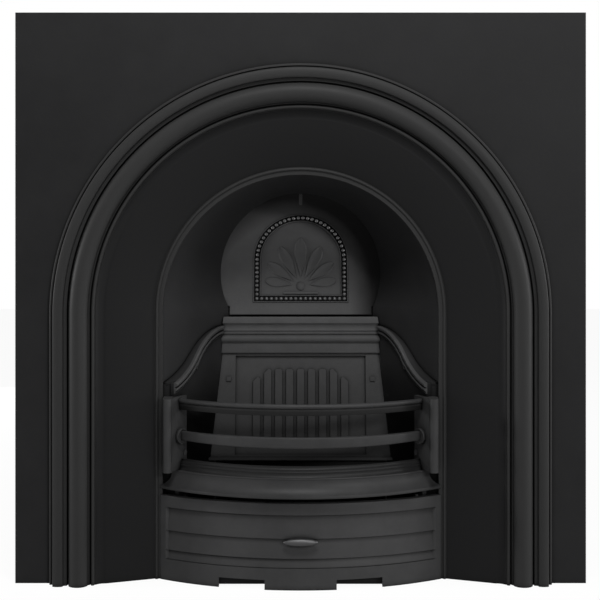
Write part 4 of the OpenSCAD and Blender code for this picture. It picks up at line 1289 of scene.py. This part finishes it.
@dataclass
class Damper:
    """The damper: a round-headed plate on two knuckles, with a beaded frame and a fan of petals."""

    hinge_y: float = 198.5
    hinge_z: float = 447
    lean: float = 18
    offset: float = 12
    thick: float = 5
    radius: float = 156
    centre: float = 68
    low: float = 12
    foot_half: float = 130.2
    shoulder: float = 4
    roll_r: Point2 = (13, 10)
    roll_turn: Point2 = (-135, -70)
    tail: tuple[Point2, ...] = ((4.4, -12.2), (8.4, -24.5), (5.5, -25.4), (1.4, -12.9))
    frame_foot: float = 18
    frame_side: float = 75
    frame_r: float = 80.5
    bead_r: float = 3.4
    bead_pitch: float = 8.82
    ridge_off: float = 6.09
    ridge_w: float = 2.4
    ridge_h: float = 1.8
    # The height of the strip of painted shade under the beads.
    bead_shade_h: float = 0.35
    fan_up: float = 24
    bar_low: float = 15
    bar_half: float = 32
    bar_h: float = 4
    petal_start: float = 12
    petal_turn: float = 27
    petal_crown: float = 3.8
    knuckle_r: float = 7.5
    knuckle_x: float = 120.5
    knuckle_w: float = 14

    def frame(self) -> Matrix:
        """The damper's own frame at rest: X is the hinge, Z runs up the plate, -Y is its face."""
        return leaning(self.hinge_y, self.hinge_z, self.lean)

    def outline(self) -> list[Point2]:
        """The plate's outline.

        Returns:
            The corners.
        """
        low, foot = math.degrees(math.asin((self.shoulder - self.centre) / self.radius)), -self.low
        head = arc(0, self.centre, self.radius, low, 180 - low, 120)
        return [(-self.foot_half, foot), (self.foot_half, foot), (self.foot_half, self.shoulder),
                *head, (-self.foot_half, self.shoulder)]

    def ridge(self, piece: Casting, grow: float, width: float, height: float) -> None:
        """Adds a raised line round the beaded frame.

        Args:
            piece: the casting.
            grow: its distance outside the beads' middle line.
            width: its width.
            height: its height.
        """
        r, foot = self.frame_r + grow, self.frame_foot - grow
        top = self.frame_foot + self.frame_side
        path = [(r, foot)] + [(r, z) for z in spread(foot + 12, top, 6)]
        path += arc(0, top, r, 4, 176, 44) + [(-x, z) for x, z in reversed(path)]
        profile = ((1, -0.5), (0.9, 0.5), (0.45, 0.95), (-0.45, 0.95), (-0.9, 0.5), (-1, -0.5))
        loops = []
        for i, here in enumerate(map(Vector, path)):
            if i in (0, len(path) - 1):
                out = Vector((-1 if i else 1, -1))
            else:
                along = (Vector(path[i + 1]) - Vector(path[i - 1])).normalized()
                out = Vector((along.y, -along.x))
            loops.append([(here.x + out.x * d * width / 2, -self.offset - h * height,
                           here.y + out.y * d * width / 2) for d, h in profile])
        piece.grid([*loops, loops[0]], around=True)

    def beads(self, piece: Casting) -> None:
        """Adds the row of beads.

        Args:
            piece: the casting.
        """
        r, side, foot = self.frame_r, self.frame_side, self.frame_foot
        places = arc(0, foot + side, r, 0, 180, round(math.pi * r / self.bead_pitch))
        rows, row = round(side / self.bead_pitch), round(2 * r / self.bead_pitch)
        places += [(x, foot + side - side * i / rows) for i in range(1, rows + 1) for x in (-r, r)]
        places += [(-r + 2 * r * i / row, foot) for i in range(1, row)]
        dome = [(-self.bead_r * cos_deg(t) - self.offset + 0.2, self.bead_r * sin_deg(t))
                for t in (0, 22, 45, 68, 95, 110)]
        for x, z in places:
            piece.lathe(dome, (x, 0, z), Axis.BACK, 14)

    def petal(self, piece: Casting, k: int) -> None:
        """Adds one petal of the fan, hollow like a spoon.

        Args:
            piece: the casting.
            k: its number from the upright one, below 0 to the left.
        """
        length, width, turn = 82 - 9 * abs(k), 25 - 1.5 * abs(k), k * self.petal_turn
        up = Vector((sin_deg(turn), cos_deg(turn)))
        side, base = Vector((up.y, -up.x)), Vector((0, self.frame_foot + self.fan_up))
        rows = []
        for t in spread(0.02, 0.99, 21):
            half = width / 2 * math.sin(math.pi * t ** 1.7) ** 0.7
            at = base + up * (self.petal_start + length * t)
            row = []
            for u in spread(-1, 1, 9):
                p = at + side * half * u
                crown = self.petal_crown * (1 - u ** 6) * (0.25 + 0.75 * u * u) * min(1, half / 4)
                row.append((p.x, -self.offset - crown + 0.25, p.y))
            rows.append(row)
        piece.grid(rows)

    def build(self) -> None:
        """Makes the damper's plate, and apart from it what has another finish or is finely made."""
        face, off, base = -self.offset, self.ridge_off, self.frame_foot + self.fan_up
        piece, hem, beads, bead_shade, fan = (Casting(f"damper_{name}", self.frame()) for name in (
            "iron", "hem", "beads", "bead_shade_sheet", "fan"))
        piece.slab(self.outline(), face, face + self.thick)
        for x in (-self.knuckle_x - self.knuckle_w, self.knuckle_x):
            piece.lathe([(0, self.knuckle_r), (self.knuckle_w, self.knuckle_r)], (x, 0, 0),
                        Axis.ACROSS, 32)
        reach, (start, end) = self.knuckle_x + self.knuckle_w - 0.5, self.roll_turn
        roll = arc(0, 0, self.roll_r[0], start, end, 16) + arc(0, 0, self.roll_r[1], end, start, 16)
        for outline in (roll, self.tail):
            hem.slab(outline, -reach, reach, Axis.ACROSS)
        self.beads(beads)
        # A thin near-black strip under the beads: painted shade in the gaps between them.
        self.ridge(bead_shade, 0, 2 * off, self.bead_shade_h)
        for grow in (off, -off):
            self.ridge(fan, grow, self.ridge_w, self.ridge_h)
        for k in range(-3, 4):
            self.petal(fan, k)
        fan.lathe(beside((face, 0), (-3.4, 0), (-3.2, 2.8), (-2.3, 5.6), (-0.9, 8.1), (0.5, 9)),
                  (0, 0, base), Axis.BACK, 32)
        low, high, half = base - self.bar_low, base - self.bar_low + self.bar_h, self.bar_half
        fan.slab(eased([(-half, low), (half, low), (half, high), (-half, high)], 1.6),
                 face - 2, face + 0.5)
        piece.finish(["damper_plate"], "damper", "blackened_iron", DAMPER, 0.9)
        # The hem and the strip under the beads are near black: painted shade.
        for trim, finish in ((hem, DARK_SHADE), (beads, BEADS), (bead_shade, DARK_SHADE), (fan, DAMPER)):
            trim.finish([], "damper", "blackened_iron", finish, 0)


@dataclass
class FireFront:
    """Top bar, middle bar, the two jambs and the skirt."""

    bar_front: float = 50
    bar_span: float = 209
    bar_end_y: float = 22
    bar_limit_y: float = 60
    bar_t: float = 9
    bar_end_x: float = 208
    top_z: float = 290
    top_h: float = 19
    mid_z: float = 235.5
    mid_h: float = 18.5
    mid_end_h: float = 15.5
    jamb_x: float = 217.5
    jamb_w: float = 16
    jamb_top: float = 312
    socket_r: float = 13
    nose_y: float = -1
    return_s: float = 17
    return_t: float = 9
    skirt_front: float = 62
    span: float = 241
    end_y: float = 26.5
    skirt_z: float = 155
    skirt_t: float = 28
    cove_h: float = 32
    step_h: float = 18
    step_end_x: float = 206
    ear: Corners = ((-8, 0.4, 128), (22, 8.3, 178))

    @property
    def bar_r(self) -> float:
        """The radius of the bars' arc in plan."""
        return arc_radius(self.bar_span, self.bar_front + self.bar_end_y)

    def swept(self, section: Callable[[float], Iterable[Point2]], radius: float, front: float,
              half_x: float, end_y: float, steps: int = 65) -> list[list[Point3]]:
        """Loops of a section that is led along an arc in plan.

        Args:
            section: the distance from the arc's centre and height, at a share from -1 to 1.
            radius: the arc's radius.
            front: how far its middle stands in front of the plate.
            half_x: where it ends sideways.
            end_y: where it ends towards the wall.
            steps: the number of loops.

        Returns:
            The loops.
        """
        centre = radius - front
        loops = []
        for share in spread(-1, 1, steps):
            loop = []
            for r, z in section(share):
                sideways = math.asin(min(1, half_x / r))
                a = min(sideways, math.acos(max(-1, (centre - end_y) / r))) * share
                loop.append((r * math.sin(a), centre - r * math.cos(a), z))
            loops.append(loop)
        return loops

    def bar(self, name: str, section: Callable[[float], Iterable[Point2]],
            end_x: float) -> Casting:
        """A casting whose section is led along the bars' arc, out to a distance from the middle.

        Args:
            name: the casting's name.
            section: as for swept.
            end_x: where it ends sideways.

        Returns:
            The casting.
        """
        piece = Casting(name)
        piece.tube(self.swept(section, self.bar_r, self.bar_front, end_x, self.bar_limit_y))
        return piece

    def build(self) -> None:
        """Makes every piece of the fire front."""
        self.top_bar()
        self.middle_bar()
        self.jamb(False)
        self.jamb(True)
        self.skirt()

    def top_bar(self) -> None:
        """Makes the top bar, with its round roll."""
        r, z, top = self.bar_r, self.top_z, self.top_z + self.top_h
        section = beside((r, z), (-3.5, 0), (-2.5, 0.4), (-2.1, 1.6))
        section += beside((r, top), (-2.1, -9.8), (-2.9, -9), (-3.3, -8))
        section += arc(r - 4, top - 4, 4, -66, 150, 18)
        section += beside((r, top), (-9, -2.2), (-11.2, -2.6), (-12, -3.6))
        section += beside((r, z), (-12, 1), (-11, 0))
        piece = self.bar("top_bar_iron", lambda share: section, self.bar_end_x)
        piece.finish(["top_bar"], "surround", "fire_front_iron", ROLL, 0)

    def middle_bar(self) -> None:
        """Makes the middle bar, deeper in its middle than at its ends."""
        r, t = self.bar_r, self.bar_t

        def section(share: float) -> list[Point2]:
            """The bar's section at a share of its length.

            Args:
                share: from -1 to 1.

            Returns:
                The corners.
            """
            low = self.mid_z + (self.mid_h - self.mid_end_h) * share * share
            top = self.mid_z + self.mid_h
            return eased([(r, low), (r, top), (r - t, top), (r - t, low)], 2.6, 4)

        piece = self.bar("middle_bar_iron", section, self.bar_end_x)
        piece.finish(["middle_bar"], "surround", "fire_front_iron", BARS, 0)

    def on_plan(self, s: float, inward: float) -> Point2:
        """A point in plan from its place along the right cheek and its distance from it.

        Args:
            s: how far back along the cheek.
            inward: how far in front of its face.

        Returns:
            Its X and Y.
        """
        cheek = Cheek()
        across, back = sin_deg(cheek.splay), cos_deg(cheek.splay)
        return (cheek.x - s * across - inward * back,
                cheek.rim_back_y + s * back - inward * across)

    def jamb(self, left: bool) -> None:
        """Makes one jamb: a round-nosed post, its return wall on the cheek and the bar's cup.

        Args:
            left: whether it is the left one.
        """
        side = "left" if left else "right"
        piece = Casting(f"jamb_{side}_iron", left=left)
        low, back, cup = self.skirt_z + self.cove_h + 0.3, self.end_y - 0.1, self.socket_r
        x0, x1, w = self.jamb_x, self.jamb_x + self.jamb_w, self.jamb_w / 2
        nose = arc(x0 + w, self.nose_y, w, 180, 360, 20)
        piece.slab([*nose, (x1, back), (x0 + 0.8, back)], low, self.jamb_top, Axis.UP)
        wall = [(x0 + 1, 2), self.on_plan(self.return_s, self.return_t),
                self.on_plan(self.return_s, 0.4), self.on_plan(-8.6, 0.4), (x0 + 1, self.end_y - 1)]
        piece.slab(eased(wall, 1.8), low, self.jamb_top - 0.6, Axis.UP)
        a = math.asin(self.bar_span / self.bar_r)
        turn = Matrix.Rotation(a - math.pi / 2, 4, "Z")
        at = (self.bar_span - 1, self.bar_end_y - 1, self.mid_z + self.mid_h / 2)
        piece.place = Matrix.Translation(at) @ turn
        piece.lathe(beside((0, cup), (-5, -2.6), (-5.5, -2), (-5.8, -1), (-5.4, -0.3), (-4.6, 0),
                           (7.4, 0)), (-self.bar_t / 2 + 0.5, 0, 0), Axis.BACK, 40)
        piece.finish([f"jamb_{side}"], "surround", "fire_front_iron", BARS, 0.9)

    def skirt(self) -> None:
        """Makes the skirt: lip, cove and the stepped rail above, with its ears."""
        r = arc_radius(self.span, self.skirt_front + self.end_y)
        z, top = self.skirt_z, self.skirt_z + self.cove_h
        section = beside((r, z), (-9, 0.05), (-1, 0.05), (-0.15, 1.2), (-0.1, 2.6), (-0.5, 5))
        section += swell((r - 2, z + 6), (r - 13, top - 4), 3.2, 20)
        section += beside((r, top), (-13, -3), (-12.2, -1.6), (-12.6, -0.3), (-14, 0.15),
                          (-self.skirt_t, 0.15), (-self.skirt_t, -8))
        section += [(r - 17, z + 8)]
        piece = Casting("skirt_iron")
        piece.tube(self.swept(lambda share: section, r, self.skirt_front, self.span - 0.05,
                              self.end_y, 81))
        b, h = self.bar_r - 2, self.step_h
        rail = [(b - 1, top - 2), *swell((b - 1, top + 0.5), (b - 3, top + h * 0.45), 1.2, 8)]
        rail += beside((b, top), (-4.6, h * 0.49), (-5, h * 0.53), (-5, h * 0.62))
        rail += swell((b - 5, top + h * 0.66), (b - 8, top + h), 1.5, 8)
        rail += [(b - 11.4, top + h), (b - 12, top + h - 0.6), (b - 12, top - 2)]
        step = self.bar("skirt_step", lambda share: rail, self.step_end_x)
        # The step takes the darker copy of the iron, a painted shade.
        step.finish([], "surround", "fire_front_iron", STEP, 0)
        piece.place = Cheek().frame()
        for left in (False, True):
            piece.left = left
            piece.block(*self.ear)
        piece.finish(["front_skirt"], "surround", "fire_front_iron", BARS, 0)


@dataclass
class AshpanCover:
    """The curved cover in front of the ashpan, with its weatherboards, notches and oval knob."""

    front: float = 43
    end_y: float = 26.5
    end_x: float = 239.9
    span: float = 241
    height: float = 144
    thick: float = 12
    panel_z: float = 36
    panel_h: float = 88.6
    panel_span: float = 229
    panel_d: float = 6
    boards: Point3 = (1, 0.551, 0.177)
    reach: float = 1.6
    notch_x: float = 60
    notch_w: float = 77
    notch_h: float = 16.5
    notch_y: Point2 = (-80, 40)
    knob_l: float = 58
    knob_d: float = 14
    knob_z: float = 81

    def panel_depth(self) -> list[Point2]:
        """The panel's line from its foot up: height, depth behind the cover's front.

        Returns:
            The line's points.
        """
        line: list[Point2] = []
        tops = [self.panel_z + self.panel_h * share for share in (*self.boards, 0)]
        for i in reversed(range(len(self.boards))):
            line += beside((tops[i + 1], self.reach), (0.1, 0.5), (0.7, 0), (1.9, 0.1))
            line += [(tops[i] - (0.6 if i else 1.4), self.panel_d)]
        return [(self.panel_z, 0), *line, (tops[0], 0)]

    def at(self, x: float, depth: float, z: float) -> Point3:
        """A point at a distance from the middle, a depth behind the cover's front and a height.

        Args:
            x: the distance from the middle, along the front.
            depth: the depth behind it.
            z: the height.

        Returns:
            The point.
        """
        r = arc_radius(self.span, self.front + self.end_y)
        a = math.asin(x / r)
        return (r - depth) * math.sin(a), r - self.front - (r - depth) * math.cos(a), z

    def build(self) -> None:
        """Makes the cover and its knob."""
        piece, h, inner = Casting("ashpan_cover_iron"), self.height, self.panel_span
        rim = [(h - 1.6, 0.0), (h - 0.5, 0.4), (h, 1.5)]
        line = [(0.0, 0.0), *self.panel_depth()]
        flat = [(z, 0.0) for z, _ in line] + rim
        cols = [(-self.end_x, flat), (-inner - 1.2, flat)]
        cols += [(x, line + rim) for x in spread(-inner + 1.6, inner - 1.6, 91)]
        cols += [(inner + 1.2, flat), (self.end_x, flat)]
        piece.tube([[self.at(x, d, z) for z, d in (*prof, (h, self.thick), (0.0, self.thick))]
                    for x, prof in cols])
        notches = Casting("notches")
        for side in (-1, 1):
            low, high = sorted((side * self.notch_x, side * (self.notch_x + self.notch_w)))
            notches.block((low, self.notch_y[0], -5), (high, self.notch_y[1], self.notch_h))
        piece.finish(["ashpan_cover"], "cover", "fire_front_iron", COVER, 0.6, notches)
        self.knob()

    def knob(self) -> None:
        """Makes the oval knob with its neck and stud."""
        piece = Casting("oval_knob")
        near, rear = (end[1] * MM_PER_M - Casting.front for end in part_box("cover_knob"))
        half, r = self.knob_l / 2, self.knob_d / 2
        y = near + r
        profile = [(-half * cos_deg(t), r * sin_deg(t)) for t in spread(0, 180, 41)]
        profile[0], profile[-1] = (-half, 0), (half, 0)
        piece.lathe(profile, (0, y, self.knob_z), Axis.ACROSS, 40)
        piece.lathe([(0, 3.5), (9, 3.5), (9, 2.5), (rear - y, 2.5)], (0, y, self.knob_z),
                    Axis.BACK, 24)
        piece.finish(["cover_knob"], "cover", "knob_steel", KNOB, 0)


# ---- light, floor and camera ---------------------------------------------------------------


@dataclass(frozen=True)
class Lamp:
    """A round soft lamp, with its place and width in metres and its power in watts."""

    name: str
    place: Point3
    width: float
    power: float

    def light(self, aim: Point3) -> None:
        """Puts the lamp into the scene, turned towards a point.

        Args:
            aim: the point.
        """
        data = bpy.data.lights.new(self.name, "AREA")
        data.shape, data.size, data.energy = "DISK", self.width, self.power
        lamp = placed(self.name, data)
        lamp.location = self.place
        lamp.rotation_euler = (Vector(aim) - Vector(self.place)).to_track_quat("-Z", "Y").to_euler()


LAMPS = (Lamp("key", (2.3, -4.35, 1.85), 0.45, 90), Lamp("top", (0.05, -1.15, 1.95), 0.7, 31),
         Lamp("left strip", (-2.4, -0.27, 0.65), 0.35, 38),
         Lamp("right strip", (2.4, -0.38, 0.65), 0.7, 38), Lamp("rear", (-0.9, 2.4, 0.42), 0.7, 30))


@dataclass
class Studio:
    """The pale floor, the soft lights and the camera of the photograph."""

    distance: float = 2200
    eye: float = 631
    focal_px: float = 1301.3
    frame_px: float = 600
    eye_px: float = 90
    aside_px: float = 0.6
    aim: Point3 = (0, 0, 0.45)
    floor_half: float = 6
    floor_glow: float = 0.95
    surround: float = 0.04

    def build(self) -> None:
        """Makes the floor, the world, the lamps and the camera."""
        self.floor()
        self.world()
        for lamp in LAMPS:
            lamp.light(self.aim)
        self.camera()
        bpy.context.scene.view_settings.view_transform = "Standard"

    def seen(self, bench: Bench) -> Term:
        """1 for what the camera, a reflection or a clear piece shows, 0 for what gives light.

        Args:
            bench: the tree.

        Returns:
            The share.
        """
        rays = bench.node("ShaderNodeLightPath", {}, {}).outputs
        camera, glossy = Term(bench, rays["Is Camera Ray"]), Term(bench, rays["Is Glossy Ray"])
        return camera + glossy + Term(bench, rays["Is Transmission Ray"])

    def blend(self, bench: Bench, share: Term, ends: Sequence[bpy.types.Node], out: str) -> None:
        """Mixes two shaders and leads them to the tree's output.

        Args:
            bench: the tree.
            share: how much of the second shader shows.
            ends: the two shaders' nodes.
            out: the output node's type.
        """
        mixed = bench.node("ShaderNodeMixShader", {}, {
            0: share, 1: ends[0].outputs[0], 2: ends[1].outputs[0]})
        bench.node(out, {}, {"Surface": mixed.outputs[0]})

    def floor(self) -> None:
        """Makes the white floor."""
        mesh = bmesh.new()
        bmesh.ops.create_grid(mesh, x_segments=1, y_segments=1, size=self.floor_half)
        data = bpy.data.meshes.new("studio_floor")
        mesh.to_mesh(data)
        mesh.free()
        obj = placed("studio_floor", data)
        material = bpy.data.materials.new("white floor")
        bench = Bench(material)
        where = bench.where()
        paper = bench.mix(bench.grain(where, 3, 2), (0.78, 0.78, 0.78), (0.82, 0.82, 0.82))
        matt = bench.node("ShaderNodeBsdfDiffuse", {}, {"Color": paper})
        glow = bench.node("ShaderNodeEmission", {}, {"Color": WHITE, "Strength": 1.0})
        self.blend(bench, self.seen(bench) * self.floor_glow, (matt, glow),
                   "ShaderNodeOutputMaterial")
        data.materials.append(material)

    def world(self) -> None:
        """Makes plain surroundings: white where they are seen, grey where they light the object."""
        world = bpy.data.worlds.new("studio")
        bpy.context.scene.world = world
        bench = Bench(world)
        ends = [bench.node("ShaderNodeBackground", {}, {"Color": WHITE, "Strength": strength})
                for strength in (self.surround, 1.0)]
        self.blend(bench, self.seen(bench), ends, "ShaderNodeOutputWorld")

    def camera(self) -> None:
        """Makes the level camera at the photograph's place."""
        data = bpy.data.cameras.new("photograph")
        data.sensor_width = 36
        data.lens = self.focal_px * data.sensor_width / self.frame_px
        data.shift_y = -self.eye_px / self.frame_px
        data.shift_x = -self.aside_px / self.frame_px
        obj = placed("photograph", data)
        obj.location = Vector((0, -self.distance + Casting.front, self.eye)) / MM_PER_M
        obj.rotation_euler = (math.radians(90), 0, 0)
        bpy.context.scene.camera = obj


CARRIED: dict[str, Finish] = {
    "damper_rod": FIXINGS, "damper_brackets": HOOD, "damper_stop": RAIL, "bracket_screws": FIXINGS,
    "bottom_grate": DARK_SHADE, "ashpan": PAN, "ashpan_handle": FIXINGS, "knob_nut": FIXINGS,
    "canopy_bolts": FIXINGS, "cheek_bolts": FIXINGS, "fireback_bolts": HEARTH,
    "fireback_nuts": FIXINGS, "jamb_bolts": FIXINGS, "skirt_bolts": FIXINGS,
    "wall_brackets": PLATE, "wall_bracket_bolts": FIXINGS}


def dress_carried(nodes: dict[str, bpy.types.Object]) -> None:
    """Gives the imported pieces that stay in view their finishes.

    Args:
        nodes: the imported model's objects by name.
    """
    for name, finish in CARRIED.items():
        slots = nodes[name].material_slots
        if not slots:
            nodes[name].data.materials.append(finish.material())
        for slot in slots:
            slot.material = finish.material()
        LOG.info("%s: %s", name, finish.name)


def main() -> None:
    """Builds the fireplace in order."""
    logging.basicConfig(level=logging.INFO, format="%(name)s %(message)s")
    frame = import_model()
    plate, cheek = FacePlate(), Cheek()
    Casting.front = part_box("front_plate")[1][1] * MM_PER_M - plate.rim_back_y
    plate.build()
    Hood(plate, cheek).build()
    cheek.build(False)
    cheek.build(True)
    for assembly in (Fireback(), Damper(), FireFront(), AshpanCover()):
        assembly.build()
    dress_carried(frame["nodes"])
    Studio().build()


if __name__ == "__main__":
    main()
